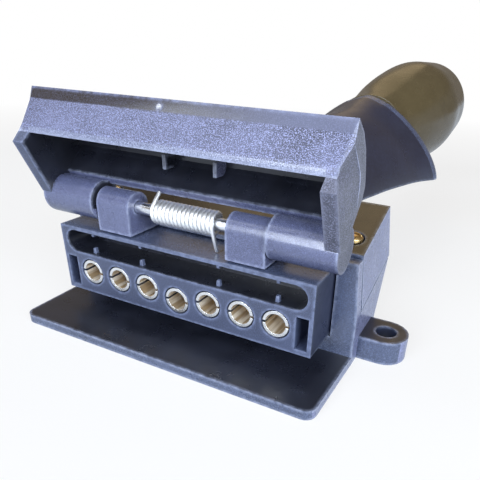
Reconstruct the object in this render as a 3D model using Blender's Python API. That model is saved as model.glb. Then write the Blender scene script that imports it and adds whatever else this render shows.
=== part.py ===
"""Trailer wiring adaptor: a flat seven-way socket with a sprung lid, joined to a round plug.

Frame: X runs across the socket, Y points from the open face to the plug, Z is up.
The origin is on the flat underside, below the middle of the contact face.
All named sizes are in millimetres and are turned into metres by MM.
"""
import math

import bmesh
import bpy
from mathutils import Matrix, Vector

MM = 0.001
GAP = 0.3

# Base plate, lower housing and screw ears
TRAY_FRONT_HALF_WIDTH = 34.8
TRAY_FRONT_Y = -9.7
TRAY_THICKNESS = 2.0
TRAY_CORNER_RADIUS = 2.2
HOUSING_HALF_WIDTH = 35.3
HOUSING_FRONT_Y = 9.7
HOUSING_FRONT_TOP_Z = 22.2
HOUSING_FRONT_TOP_HALF_WIDTH = 34.3
HOUSING_FLOOR_BACK_Y = 23.4
HOUSING_WALL = 2.6
HOUSING_INNER_HALF_WIDTH = 31.2
# Slanting joint between the lower housing and the rear cover
JOINT_FRONT_Z = 10.5
JOINT_BACK_Y = 30.57
JOINT_BACK_Z = 16.2
PILLAR_INNER_X = 28.2
PILLAR_OUTER_X = 32.0
PILLAR_HALF_DEPTH = 2.2
PILLAR_TOP_Z = 20.9
EAR_CENTRE_X = 39.8
EAR_CENTRE_Y = 17.9
EAR_RADIUS = 4.65
EAR_THICKNESS = 5.2
EAR_HOLE_RADIUS = 2.2
# Overlap of welded pieces, and how far cutters reach past what they cut
OVERLAP = 1.0
FAR_UP = 40.0

# Contact block and its seven ways
BLOCK_HALF_WIDTH = 30.0
BLOCK_BOTTOM_Z = 5.95
BLOCK_TOP_Z = 20.95
BLOCK_BACK_Y = 12.2
WAY_COUNT = 7
WAY_PITCH = 7.5
WAY_ROW_Z = 11.05
CENTRE_WAY_DROP = 1.1
SLEEVE_RADIUS = 2.75
SLEEVE_BORE_RADIUS = 2.1
SLEEVE_FRONT_Y = 0.15
SLEEVE_BACK_Y = 18.0
SLEEVE_BORE_DEPTH = 11.5
SLEEVE_SLIT_WIDTH = 0.45
SLEEVE_SLIT_DEPTH = 9.0
WAY_CLEARANCE = 0.25
CLAMP_SCREW_RADIUS = 1.2
CLAMP_SCREW_TOP = 3.2
CLAMP_SCREW_INSET = 2.4
CLAMP_HOLE_TOP = 4.0
GROOVE_HALF_WIDTH = 0.3
GROOVE_DEPTH = 0.6
UPPER_SLOT_END_X = 26.2
UPPER_SLOT_RADIUS = 2.45
UPPER_SLOT_Z = 17.7
UPPER_SLOT_DEPTH = 8.0
SIDE_SLOT_X = 27.9
SIDE_SLOT_HALF_WIDTH = 1.25
SIDE_SLOT_HALF_HEIGHT = 3.45
SIDE_SLOT_Z = 10.45
SIDE_SLOT_DEPTH = 8.0

# Hinge: two lugs on the body, two barrels on the lid, one pin, one torsion spring
HINGE_Y = 4.0
HINGE_Z = 26.7
PIN_RADIUS = 1.25
PIN_HALF_LENGTH = 32.0
PIN_HOLE_RADIUS = 1.35
LUG_RADIUS = 3.1
LUG_INNER_X = 11.2
LUG_OUTER_X = 19.5
BARREL_RADIUS = 4.2
BARREL_INNER_X = 19.9
BARREL_OUTER_X = 33.2
SPRING_POINTS_PER_TURN = 10
SPRING_WIRE_RADIUS = 0.4
SPRING_MEAN_RADIUS = 2.1
SPRING_PITCH = 1.25
SPRING_LEFT_X = -6.2
SPRING_WHOLE_TURNS = 11
SPRING_START_DEGREES = 133.0
SPRING_END_DEGREES = 198.0
SPRING_UPPER_LEG = 3.2
SPRING_LOWER_LEG = 5.0

# Lid, drawn standing open as a side profile in the Y-Z plane
LID_HALF_WIDTH = 33.6
LID_INNER_HALF_WIDTH = 30.8
LID_OUTER_PROFILE = [
    (2.0, 48.0), (0.8, 45.9), (-2.95, 41.1), (-4.8, 38.4), (-0.1, 27.7), (3.5, 27.0),
    (4.4, 28.8), (7.7, 31.2), (11.3, 33.8), (12.4, 35.6), (11.5, 38.9), (9.6, 42.5), (6.2, 45.6),
]
LID_CAVITY_PROFILE = [
    (-2.95, 41.1), (-1.2, 39.8), (2.4, 44.4), (4.6, 43.8), (7.8, 40.9), (9.4, 38.2),
    (10.0, 36.0), (9.4, 35.1), (6.4, 32.8), (5.0, 31.4), (6.3, 29.3), (6.3, 22.0),
    (-14.0, 22.0), (-14.0, 41.1),
]
# Half width at each profile point, and the ridge each end rises to, as (Y, Z) pairs
LID_END_X = [33.5, 33.05, 32.5, 33.45, 33.4, 33.4, 33.3, 33.1, 32.9, 32.8, 32.8, 32.9, 33.2]
LID_RIDGE = [(0.6, 44.6), (5.8, 39.2), (6.0, 33.6)]
LID_RIDGE_INDEX = [0, 0, 1, 1, 2, 2, 2, 2, 1, 1, 1, 0, 0]
LID_RIB_X = 5.8
LID_RIB_HALF_WIDTH = 0.4
LID_RIB_FRONT_Y = 6.4
LID_RIB_BACK_Y = 10.6
LID_RIB_LOW_Z = 34.6
LID_RIB_HIGH_Z = 37.4

# Rear cover with a sloping top, and its two screws
COVER_BACK_Y = 31.2
COVER_BACK_TOP_Z = 27.6
COVER_BACK_TOP_HALF_WIDTH = 33.85
COVER_ROOF = 2.4
COVER_BACK_WALL = 2.9
COVER_INNER_HALF_WIDTH = 32.3
COVER_SLOT_HALF_WIDTH = 22.5
COVER_SLOT_LOW_Z = 17.6
COVER_SLOT_HIGH_Z = 23.3
COVER_SCREW_X = 30.4
COVER_SCREW_Y = 17.4
COVER_SCREW_SEAT_Z = 23.4
COVER_SCREW_TIP_Z = 14.0
COVER_SCREW_SHANK_RADIUS = 1.0
COVER_SCREW_HEAD_RADIUS = 2.1
COVER_SCREW_HEAD_HEIGHT = 1.5
COVER_SCREW_DOME_HEIGHT = 0.8

# Rear boot: stations along Y of middle X, half width, flat underside Z and ridge Z
BOOT_STATIONS = [
    (31.5, 0.0, 27.0, 17.0, 27.0),
    (46.0, 1.7, 19.7, 21.0, 33.0),
    (60.0, 4.2, 20.1, 21.9, 38.0),
    (75.0, 7.2, 22.8, 22.1, 42.3),
    (88.0, 9.85, 25.0, 21.6, 44.4),
]
BOOT_RIM_THICKNESS = 3.0
BOOT_DOME_POWER = 1.44
BOOT_STEPS = 14
BOOT_DOME_STEPS = 20
# Wire channel: stations along Y of middle X, middle Z, half width and half height
CHANNEL_STATIONS = [
    (31.0, 0.0, 20.2, 19.5, 2.2),
    (46.0, 1.7, 26.8, 11.0, 4.5),
    (60.0, 4.0, 29.0, 7.2, 5.2),
    (80.0, 7.3, 30.5, 6.8, 6.2),
    (91.0, 9.5, 31.9, 6.5, 6.5),
    (96.0, 10.5, 32.6, 6.5, 6.5),
]
CHANNEL_STEPS = 10
CHANNEL_POINTS = 20

# Round plug on its own tilted axis
PLUG_START = Vector((9.5, 91.0, 31.9))
PLUG_YAW_DEGREES = 11.5
PLUG_PITCH_DEGREES = 7.7
PLUG_OUTER = [
    (50.3, 13.9), (49.2, 14.8), (42.5, 15.9), (35.0, 16.9),
    (26.0, 16.3), (17.5, 15.0), (6.0, 12.4), (-8.0, 11.7),
]
PLUG_MOUTH_RADIUS = 12.2
PLUG_FLOOR_S = 30.0
PLUG_WIRE_BORE_RADIUS = 7.5
PLUG_WIRE_BORE_END_S = 10.0
PLUG_CHAMBER_RADIUS = 10.3
PLUG_CHAMBER_START_S = 19.0
INSERT_RADIUS = 11.9
INSERT_THICKNESS = 5.5
PLUG_PIN_RADIUS = 1.4
PLUG_PIN_CIRCLE = 7.2
PLUG_PIN_BACK_S = 26.0
PLUG_PIN_TIP_S = 42.0
PLUG_PIN_TAPER = 0.9
PLUG_PIN_TIP_RADIUS = 0.7

# Wires from the sleeves to the plug pins
WIRE_RADIUS = 0.8
WIRE_BUNDLE_RADIUS = 3.2
WIRE_GATHER_Y = 52.0
WIRE_POINTS = 40
WIRE_RISE = (26.0, 0.0, 19.5)
WIRE_STRAIGHT = 1.4

ROUND_SEGMENTS = 24

PLUG_DIRECTION = Vector((
    math.sin(math.radians(PLUG_YAW_DEGREES)) * math.cos(math.radians(PLUG_PITCH_DEGREES)),
    math.cos(math.radians(PLUG_YAW_DEGREES)) * math.cos(math.radians(PLUG_PITCH_DEGREES)),
    math.sin(math.radians(PLUG_PITCH_DEGREES)),
))


def remove_startup_objects():
    for item in list(bpy.data.objects):
        bpy.data.objects.remove(item, do_unlink=True)


def make_material(name, colour, roughness, metallic):
    material = bpy.data.materials.new(name)
    material.use_nodes = True
    shader = material.node_tree.nodes["Principled BSDF"]
    shader.inputs["Base Color"].default_value = (*colour, 1.0)
    shader.inputs["Roughness"].default_value = roughness
    shader.inputs["Metallic"].default_value = metallic
    return material


def add_object(name, bm, material=None):
    """Turn a closed bmesh in millimetres into an object in metres."""
    bmesh.ops.recalc_face_normals(bm, faces=bm.faces)
    bmesh.ops.scale(bm, vec=(MM, MM, MM), verts=bm.verts)
    mesh = bpy.data.meshes.new(name)
    bm.to_mesh(mesh)
    bm.free()
    mesh.shade_smooth()
    mesh.set_sharp_from_angle(angle=math.radians(35))
    item = bpy.data.objects.new(name, mesh)
    bpy.context.scene.collection.objects.link(item)
    if material:
        mesh.materials.append(material)
    return item


def prism(points, axis, low, high):
    """Extrude a flat outline along X, Y or Z; outline pairs are the other two axes in order."""
    bm = bmesh.new()
    place = {
        "X": lambda a, b: (low, a, b),
        "Y": lambda a, b: (a, low, b),
        "Z": lambda a, b: (a, b, low),
    }[axis]
    face = bm.faces.new([bm.verts.new(place(a, b)) for a, b in points])
    grown = bmesh.ops.extrude_face_region(bm, geom=[face])
    moved = [v for v in grown["geom"] if isinstance(v, bmesh.types.BMVert)]
    travel = {"X": (1, 0, 0), "Y": (0, 1, 0), "Z": (0, 0, 1)}[axis]
    bmesh.ops.translate(bm, vec=Vector(travel) * (high - low), verts=moved)
    return bm


def rectangle(a0, a1, b0, b1):
    return [(a0, b0), (a1, b0), (a1, b1), (a0, b1)]


def arc(centre, radius, start, end, steps):
    """Points on an arc, angles in degrees, both ends included."""
    points = []
    for i in range(steps + 1):
        angle = math.radians(start + (end - start) * i / steps)
        points.append((centre[0] + radius * math.cos(angle), centre[1] + radius * math.sin(angle)))
    return points


def cylinder(start, end, radius, segments=ROUND_SEGMENTS):
    """A round bar between two points."""
    start = Vector(start)
    end = Vector(end)
    bm = bmesh.new()
    bmesh.ops.create_cone(bm, cap_ends=True, segments=segments, radius1=radius, radius2=radius,
                          depth=(end - start).length)
    turn = Vector((0, 0, 1)).rotation_difference(end - start).to_matrix().to_4x4()
    bmesh.ops.transform(bm, matrix=Matrix.Translation((start + end) / 2) @ turn, verts=bm.verts)
    return bm


def lathe(profile, origin, direction, segments=ROUND_SEGMENTS):
    """Spin a closed run of (distance along the axis, radius) pairs about a placed axis."""
    bm = bmesh.new()
    verts = [bm.verts.new((radius, 0, along)) for along, radius in profile]
    edges = [bm.edges.new(pair) for pair in zip(verts, verts[1:])]
    bmesh.ops.spin(bm, geom=verts + edges, cent=(0, 0, 0), axis=(0, 0, 1),
                   angle=2 * math.pi, steps=segments, use_duplicate=False)
    bmesh.ops.remove_doubles(bm, verts=bm.verts, dist=0.0005)
    turn = Vector((0, 0, 1)).rotation_difference(Vector(direction)).to_matrix().to_4x4()
    bmesh.ops.transform(bm, matrix=Matrix.Translation(origin) @ turn, verts=bm.verts)
    return bm


def stack_rings(rings):
    """Bridge equal rings of points into a closed loft with flat ends."""
    bm = bmesh.new()
    loops = [[bm.verts.new(point) for point in ring] for ring in rings]
    for near, far in zip(loops, loops[1:]):
        for i in range(len(near)):
            j = (i + 1) % len(near)
            bm.faces.new((near[i], near[j], far[j], far[i]))
    bm.faces.new(loops[0])
    bm.faces.new(loops[-1])
    return bm


def through_stations(stations, value):
    """Smooth values at a place along stations whose first entry is that place."""
    index = 0
    while index < len(stations) - 2 and value > stations[index + 1][0]:
        index += 1
    before = stations[max(index - 1, 0)]
    left = stations[index]
    right = stations[index + 1]
    after = stations[min(index + 2, len(stations) - 1)]
    t = (value - left[0]) / (right[0] - left[0])
    span = right[0] - left[0]
    result = []
    for k in range(1, len(left)):
        slope_left = (right[k] - before[k]) / (right[0] - before[0]) * span
        slope_right = (after[k] - left[k]) / (after[0] - left[0]) * span
        h00 = 2 * t ** 3 - 3 * t ** 2 + 1
        h10 = t ** 3 - 2 * t ** 2 + t
        h01 = -2 * t ** 3 + 3 * t ** 2
        h11 = t ** 3 - t ** 2
        result.append(h00 * left[k] + h10 * slope_left + h01 * right[k] + h11 * slope_right)
    return result


def hide_tool(item):
    item.hide_render = True
    item.display_type = "WIRE"


def combine(target, bm, operation, label):
    """Cut from, or weld to, a target with a hidden tool solid."""
    tool = add_object(f"{target.name}_{label}", bm)
    hide_tool(tool)
    step = target.modifiers.new(label, "BOOLEAN")
    step.operation = operation
    step.solver = "EXACT"
    step.object = tool


def cut(target, bm, label):
    combine(target, bm, "DIFFERENCE", label)


def weld(target, bm, label):
    combine(target, bm, "UNION", label)


def tube(name, points, radius, material):
    """A round wire along points, with filled ends."""
    curve = bpy.data.curves.new(name, "CURVE")
    curve.dimensions = "3D"
    curve.bevel_depth = radius * MM
    curve.bevel_resolution = 1
    curve.use_fill_caps = True
    spline = curve.splines.new("POLY")
    spline.points.add(len(points) - 1)
    for slot, point in zip(spline.points, points):
        slot.co = (*(Vector(point) * MM), 1.0)
    item = bpy.data.objects.new(name, curve)
    bpy.context.scene.collection.objects.link(item)
    curve.materials.append(material)
    return item


def way_centre(number):
    """X and Z of a way, counted 1 to 7 from the left; the middle one sits lower."""
    middle = (WAY_COUNT + 1) // 2
    drop = CENTRE_WAY_DROP if number == middle else 0.0
    return (number - middle) * WAY_PITCH, WAY_ROW_Z - drop


def along_plug(distance, radius=0.0, angle=0.0):
    """A point beside the plug axis; angle is measured from the sideways direction."""
    side = PLUG_DIRECTION.cross(Vector((0, 0, 1))).normalized()
    upward = side.cross(PLUG_DIRECTION)
    return (PLUG_START + PLUG_DIRECTION * distance
            + side * radius * math.cos(angle) + upward * radius * math.sin(angle))


def plug_pin_place(number):
    """Radius and angle of a plug pin, ordered left to right as the ways are."""
    spots = [(PLUG_PIN_CIRCLE, math.radians(step)) for step in (180, 120, 240)]
    spots.append((0.0, 0.0))
    spots += [(PLUG_PIN_CIRCLE, math.radians(step)) for step in (60, 300, 0)]
    return spots[number - 1]


def joint_height(y):
    """Height of the slanting joint between the lower housing and the cover."""
    share = (y - HOUSING_FRONT_Y) / (JOINT_BACK_Y - HOUSING_FRONT_Y)
    return JOINT_FRONT_Z + share * (JOINT_BACK_Z - JOINT_FRONT_Z)


def roof_height(y):
    """Height of the sloping top of the housing."""
    share = (y - HOUSING_FRONT_Y) / (COVER_BACK_Y - HOUSING_FRONT_Y)
    return HOUSING_FRONT_TOP_Z + share * (COVER_BACK_TOP_Z - HOUSING_FRONT_TOP_Z)


def hinge_bar(low_x, high_x, radius, segments=16):
    """A round bar on the hinge axis."""
    return cylinder((low_x, HINGE_Y, HINGE_Z), (high_x, HINGE_Y, HINGE_Z), radius, segments)


def build_socket_body(plastic):
    wide = HOUSING_HALF_WIDTH
    profile = [(HOUSING_FRONT_Y, 0.0), (HOUSING_FLOOR_BACK_Y, 0.0), (JOINT_BACK_Y, JOINT_BACK_Z),
               (HOUSING_FRONT_Y, JOINT_FRONT_Z)]
    body = add_object("socket_body", prism(profile, "X", -wide, wide), plastic)
    inside_back = HOUSING_FLOOR_BACK_Y - HOUSING_WALL + OVERLAP
    hollow = [(HOUSING_FRONT_Y + HOUSING_WALL, TRAY_THICKNESS), (inside_back, TRAY_THICKNESS),
              (JOINT_BACK_Y - HOUSING_WALL, JOINT_BACK_Z), (JOINT_BACK_Y - HOUSING_WALL, FAR_UP),
              (HOUSING_FRONT_Y + HOUSING_WALL, FAR_UP)]
    cut(body, prism(hollow, "X", -HOUSING_INNER_HALF_WIDTH, HOUSING_INNER_HALF_WIDTH), "hollow")

    high = HOUSING_FRONT_TOP_HALF_WIDTH
    front = [(-wide, 0.0), (wide, 0.0), (wide, JOINT_FRONT_Z), (high, HOUSING_FRONT_TOP_Z),
             (-high, HOUSING_FRONT_TOP_Z), (-wide, JOINT_FRONT_Z)]
    weld(body, prism(front, "Y", HOUSING_FRONT_Y, HOUSING_FRONT_Y + HOUSING_WALL), "front_wall")

    corner = TRAY_FRONT_HALF_WIDTH - TRAY_CORNER_RADIUS
    corner_y = TRAY_FRONT_Y + TRAY_CORNER_RADIUS
    outline = [(-wide, HOUSING_FRONT_Y + OVERLAP)]
    outline += arc((-corner, corner_y), TRAY_CORNER_RADIUS, 180, 270, 5)
    outline += arc((corner, corner_y), TRAY_CORNER_RADIUS, 270, 360, 5)
    outline.append((wide, HOUSING_FRONT_Y + OVERLAP))
    weld(body, prism(outline, "Z", 0.0, TRAY_THICKNESS), "tray")

    for side in (-1, 1):
        inside_x = side * (wide - 1.5)
        ends = arc((side * EAR_CENTRE_X, EAR_CENTRE_Y), EAR_RADIUS, -90, 90 if side > 0 else -270, 10)
        ear = [(inside_x, EAR_CENTRE_Y - EAR_RADIUS)] + ends + [(inside_x, EAR_CENTRE_Y + EAR_RADIUS)]
        weld(body, prism(ear, "Z", 0.0, EAR_THICKNESS), f"ear_{side}")
        hole_low = (side * EAR_CENTRE_X, EAR_CENTRE_Y, -OVERLAP)
        hole_high = (side * EAR_CENTRE_X, EAR_CENTRE_Y, EAR_THICKNESS + OVERLAP)
        cut(body, cylinder(hole_low, hole_high, EAR_HOLE_RADIUS, 20), f"ear_hole_{side}")
        foot = rectangle(*sorted((side * PILLAR_INNER_X, side * PILLAR_OUTER_X)),
                         COVER_SCREW_Y - PILLAR_HALF_DEPTH, COVER_SCREW_Y + PILLAR_HALF_DEPTH)
        weld(body, prism(foot, "Z", TRAY_THICKNESS - OVERLAP, PILLAR_TOP_Z), f"pillar_{side}")
        bore_low = (side * COVER_SCREW_X, COVER_SCREW_Y, COVER_SCREW_TIP_Z - GAP)
        bore_high = (side * COVER_SCREW_X, COVER_SCREW_Y, PILLAR_TOP_Z + OVERLAP)
        cut(body, cylinder(bore_low, bore_high, COVER_SCREW_SHANK_RADIUS + GAP, 12), f"screw_bore_{side}")

    foot_z = BLOCK_TOP_Z + GAP
    lug_back = HOUSING_FRONT_Y + HOUSING_WALL - 0.1
    lug = [(lug_back, foot_z), (lug_back, HINGE_Z - 3.0), (HINGE_Y + 3.0, HINGE_Z - 0.8)]
    lug += arc((HINGE_Y, HINGE_Z), LUG_RADIUS, 20, 180, 10)
    lug.append((HINGE_Y - LUG_RADIUS, foot_z))
    for side in (-1, 1):
        ends = sorted((side * LUG_INNER_X, side * LUG_OUTER_X))
        weld(body, prism(lug, "X", *ends), f"lug_{side}")

    window = rectangle(-BLOCK_HALF_WIDTH - GAP, BLOCK_HALF_WIDTH + GAP,
                       BLOCK_BOTTOM_Z - GAP, BLOCK_TOP_Z + GAP)
    window_back = HOUSING_FRONT_Y + HOUSING_WALL + OVERLAP
    cut(body, prism(window, "Y", HOUSING_FRONT_Y - OVERLAP, window_back), "window")
    reach = LUG_OUTER_X + OVERLAP
    cut(body, hinge_bar(-reach, reach, PIN_HOLE_RADIUS), "pin_hole")


def build_contact_block(plastic):
    faces = rectangle(-BLOCK_HALF_WIDTH, BLOCK_HALF_WIDTH, BLOCK_BOTTOM_Z, BLOCK_TOP_Z)
    block = add_object("contact_block", prism(faces, "Y", 0.0, BLOCK_BACK_Y), plastic)
    for number in range(1, WAY_COUNT + 1):
        x, z = way_centre(number)
        hole = cylinder((x, -OVERLAP, z), (x, BLOCK_BACK_Y + OVERLAP, z), SLEEVE_RADIUS + WAY_CLEARANCE)
        cut(block, hole, f"way_{number}")
    ends = arc((UPPER_SLOT_END_X, UPPER_SLOT_Z), UPPER_SLOT_RADIUS, -90, 90, 8)
    ends += arc((-UPPER_SLOT_END_X, UPPER_SLOT_Z), UPPER_SLOT_RADIUS, 90, 270, 8)
    cut(block, prism(ends, "Y", -OVERLAP, UPPER_SLOT_DEPTH), "upper_slot")
    for side in (-1, 1):
        middle = side * SIDE_SLOT_X
        slot = rectangle(middle - SIDE_SLOT_HALF_WIDTH, middle + SIDE_SLOT_HALF_WIDTH,
                         SIDE_SLOT_Z - SIDE_SLOT_HALF_HEIGHT, SIDE_SLOT_Z + SIDE_SLOT_HALF_HEIGHT)
        cut(block, prism(slot, "Y", -OVERLAP, SIDE_SLOT_DEPTH), f"side_slot_{side}")


def build_contacts(silver, brass):
    """Split sleeves with a clamp screw in the solid rear end of each."""
    screw_y = SLEEVE_BACK_Y - CLAMP_SCREW_INSET
    for number in range(1, WAY_COUNT + 1):
        x, z = way_centre(number)
        bar = cylinder((x, SLEEVE_FRONT_Y, z), (x, SLEEVE_BACK_Y, z), SLEEVE_RADIUS)
        sleeve = add_object(f"contact_sleeve_{number}", bar, silver)
        bore_end = SLEEVE_FRONT_Y + SLEEVE_BORE_DEPTH
        cut(sleeve, cylinder((x, -OVERLAP, z), (x, bore_end, z), SLEEVE_BORE_RADIUS), "bore")
        across = SLEEVE_RADIUS + OVERLAP
        slit = rectangle(x - across, x + across, z - SLEEVE_SLIT_WIDTH / 2, z + SLEEVE_SLIT_WIDTH / 2)
        cut(sleeve, prism(slit, "Y", -OVERLAP, SLEEVE_SLIT_DEPTH), "slit")
        hole = cylinder((x, screw_y, z), (x, screw_y, z + CLAMP_HOLE_TOP), CLAMP_SCREW_RADIUS + GAP, 12)
        cut(sleeve, hole, "clamp_hole")
        top = z + CLAMP_SCREW_TOP
        screw = cylinder((x, screw_y, z + GAP), (x, screw_y, top), CLAMP_SCREW_RADIUS, 12)
        item = add_object(f"terminal_screw_{number}", screw, brass)
        groove = rectangle(x - CLAMP_SCREW_RADIUS - OVERLAP, x + CLAMP_SCREW_RADIUS + OVERLAP,
                           screw_y - GROOVE_HALF_WIDTH, screw_y + GROOVE_HALF_WIDTH)
        cut(item, prism(groove, "Z", top - GROOVE_DEPTH, top + OVERLAP), "groove")


def lid_shell():
    """The lid's outside: one profile across, closed at each end by facets up to a ridge line."""
    bm = bmesh.new()
    rings = {}
    for side in (-1, 1):
        ring = [bm.verts.new((side * x, y, z)) for x, (y, z) in zip(LID_END_X, LID_OUTER_PROFILE)]
        ridge = [bm.verts.new((side * LID_HALF_WIDTH, y, z)) for y, z in LID_RIDGE]
        rings[side] = ring
        for i in range(len(ring)):
            j = (i + 1) % len(ring)
            a = LID_RIDGE_INDEX[i]
            b = LID_RIDGE_INDEX[j]
            corners = [ring[i], ring[j], ridge[b]]
            if a != b:
                corners.append(ridge[a])
            bm.faces.new(corners)
    for i in range(len(LID_OUTER_PROFILE)):
        j = (i + 1) % len(LID_OUTER_PROFILE)
        bm.faces.new((rings[-1][i], rings[-1][j], rings[1][j], rings[1][i]))
    return bm


def build_lid(plastic):
    lid = add_object("spring_lid", lid_shell(), plastic)
    cut(lid, prism(LID_CAVITY_PROFILE, "X", -LID_INNER_HALF_WIDTH, LID_INNER_HALF_WIDTH), "cavity")
    for side in (-1, 1):
        ends = sorted((side * BARREL_INNER_X, side * BARREL_OUTER_X))
        weld(lid, hinge_bar(*ends, BARREL_RADIUS, 28), f"barrel_{side}")
        rib = rectangle(side * LID_RIB_X - LID_RIB_HALF_WIDTH, side * LID_RIB_X + LID_RIB_HALF_WIDTH,
                        LID_RIB_FRONT_Y, LID_RIB_BACK_Y)
        weld(lid, prism(rib, "Z", LID_RIB_LOW_Z, LID_RIB_HIGH_Z), f"rib_{side}")
    # The pin goes in from the left, and its hole ends inside the right barrel
    cut(lid, hinge_bar(-BARREL_OUTER_X - OVERLAP, PIN_HALF_LENGTH + GAP, PIN_HOLE_RADIUS), "pin_hole")


def build_hinge_pin(steel):
    add_object("hinge_pin", hinge_bar(-PIN_HALF_LENGTH, PIN_HALF_LENGTH, PIN_RADIUS), steel)


def spring_points():
    """One leg back to the lid rail, the turns round the pin, one leg down to the block top."""
    def on_coil(degrees):
        turned = (degrees - SPRING_START_DEGREES) / 360
        angle = math.radians(degrees)
        return Vector((SPRING_LEFT_X + turned * SPRING_PITCH,
                       HINGE_Y + SPRING_MEAN_RADIUS * math.cos(angle),
                       HINGE_Z + SPRING_MEAN_RADIUS * math.sin(angle)))

    def onward(degrees):
        angle = math.radians(degrees)
        return Vector((0.0, -math.sin(angle), math.cos(angle)))

    first = SPRING_START_DEGREES
    final = SPRING_END_DEGREES + 360 * SPRING_WHOLE_TURNS
    count = round((final - first) / 360 * SPRING_POINTS_PER_TURN)
    coil = [on_coil(first + (final - first) * i / count) for i in range(count + 1)]
    straight = 2 * SPRING_WIRE_RADIUS
    upper_reach = (SPRING_UPPER_LEG, SPRING_UPPER_LEG - straight)
    lower_reach = (SPRING_LOWER_LEG - straight, SPRING_LOWER_LEG)
    upper = [coil[0] - onward(first) * reach for reach in upper_reach]
    lower = [coil[-1] + onward(SPRING_END_DEGREES) * reach for reach in lower_reach]
    return upper + coil + lower


def least_gap(points, wire_radius):
    """Smallest clear space between stretches of wire at least half a turn apart."""
    apart = SPRING_POINTS_PER_TURN // 2
    nearest = min((points[i] - points[j]).length
                  for i in range(len(points)) for j in range(i + apart, len(points)))
    return nearest - 2 * wire_radius


def build_spring(steel):
    points = spring_points()
    tube("lid_spring", points, SPRING_WIRE_RADIUS, steel)
    print(f"lid_spring least gap to itself: {least_gap(points, SPRING_WIRE_RADIUS):.2f} mm")


def cover_ring(y):
    """Outline across the cover at one place, from the slanting joint up to the roof."""
    share = (y - HOUSING_FRONT_Y) / (COVER_BACK_Y - HOUSING_FRONT_Y)
    growth = COVER_BACK_TOP_HALF_WIDTH - HOUSING_FRONT_TOP_HALF_WIDTH
    top = HOUSING_FRONT_TOP_HALF_WIDTH + share * growth
    wide = HOUSING_HALF_WIDTH
    low_z = joint_height(y) + GAP
    high_z = roof_height(y)
    return [(-wide, y, low_z), (wide, y, low_z), (top, y, high_z), (-top, y, high_z)]


def build_rear_cover(plastic, brass):
    front = HOUSING_FRONT_Y + HOUSING_WALL + GAP
    back = COVER_BACK_Y
    inner_back = back - COVER_BACK_WALL
    cover = add_object("rear_cover", stack_rings([cover_ring(front), cover_ring(back)]), plastic)
    mouth = front - OVERLAP
    hollow = [(mouth, 0.0), (inner_back, 0.0), (inner_back, roof_height(inner_back) - COVER_ROOF),
              (mouth, roof_height(mouth) - COVER_ROOF)]
    cut(cover, prism(hollow, "X", -COVER_INNER_HALF_WIDTH, COVER_INNER_HALF_WIDTH), "hollow")
    slot = rectangle(-COVER_SLOT_HALF_WIDTH, COVER_SLOT_HALF_WIDTH, COVER_SLOT_LOW_Z, COVER_SLOT_HIGH_Z)
    cut(cover, prism(slot, "Y", inner_back - OVERLAP, back + OVERLAP), "wire_slot")
    for side, word in ((-1, "left"), (1, "right")):
        x = side * COVER_SCREW_X
        low = (x, COVER_SCREW_Y, COVER_SCREW_TIP_Z)
        seat = (x, COVER_SCREW_Y, COVER_SCREW_SEAT_Z)
        above = (x, COVER_SCREW_Y, FAR_UP)
        cut(cover, cylinder(low, above, COVER_SCREW_SHANK_RADIUS + GAP, 12), f"screw_hole_{side}")
        cut(cover, cylinder(seat, above, COVER_SCREW_HEAD_RADIUS + GAP), f"screw_seat_{side}")
        under = COVER_SCREW_SEAT_Z + GAP
        top = under + COVER_SCREW_HEAD_HEIGHT
        profile = [(COVER_SCREW_TIP_Z, 0.0), (COVER_SCREW_TIP_Z, COVER_SCREW_SHANK_RADIUS),
                   (under, COVER_SCREW_SHANK_RADIUS), (under, COVER_SCREW_HEAD_RADIUS),
                   (top - COVER_SCREW_DOME_HEIGHT, COVER_SCREW_HEAD_RADIUS),
                   (top - COVER_SCREW_DOME_HEIGHT / 4, COVER_SCREW_HEAD_RADIUS * 0.72),
                   (top, COVER_SCREW_HEAD_RADIUS * 0.35), (top, 0.0)]
        turned = lathe(profile, (x, COVER_SCREW_Y, 0), (0, 0, 1), 20)
        screw = add_object(f"cover_screw_{word}", turned, brass)
        across = COVER_SCREW_HEAD_RADIUS + OVERLAP
        groove = rectangle(x - across, x + across,
                           COVER_SCREW_Y - GROOVE_HALF_WIDTH, COVER_SCREW_Y + GROOVE_HALF_WIDTH)
        cut(screw, prism(groove, "Z", top - GROOVE_DEPTH, top + OVERLAP), "groove")


def boot_ring(y):
    """A flat-bottomed, domed section of the boot."""
    middle, half_width, low, high = through_stations(BOOT_STATIONS, min(y, BOOT_STATIONS[-1][0]))
    power = 2 / BOOT_DOME_POWER
    half_circle = arc((0.0, 0.0), 1.0, 0, 180, BOOT_DOME_STEPS)
    dome = [(math.copysign(abs(a) ** power, a), abs(b) ** power) for a, b in half_circle]
    return [(middle + half_width * a, y, low + (high - low) * b) for a, b in dome]


def channel_ring(y):
    """An oval section of the wire channel."""
    middle, centre_z, half_width, half_height = through_stations(CHANNEL_STATIONS, y)
    circle = arc((0.0, 0.0), 1.0, 0, 360 - 360 / CHANNEL_POINTS, CHANNEL_POINTS - 1)
    return [(middle + half_width * a, y, centre_z + half_height * b) for a, b in circle]


def build_rear_boot(plastic):
    first = BOOT_STATIONS[0][0]
    last = BOOT_STATIONS[-1][0]
    places = [first + (last - first) * i / BOOT_STEPS for i in range(BOOT_STEPS + 1)]
    places.append(last + BOOT_RIM_THICKNESS)
    boot = add_object("rear_boot", stack_rings([boot_ring(y) for y in places]), plastic)
    start = CHANNEL_STATIONS[0][0]
    end = CHANNEL_STATIONS[-1][0]
    stops = [start + (end - start) * i / CHANNEL_STEPS for i in range(CHANNEL_STEPS + 1)]
    cut(boot, stack_rings([channel_ring(y) for y in stops]), "channel")


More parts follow.
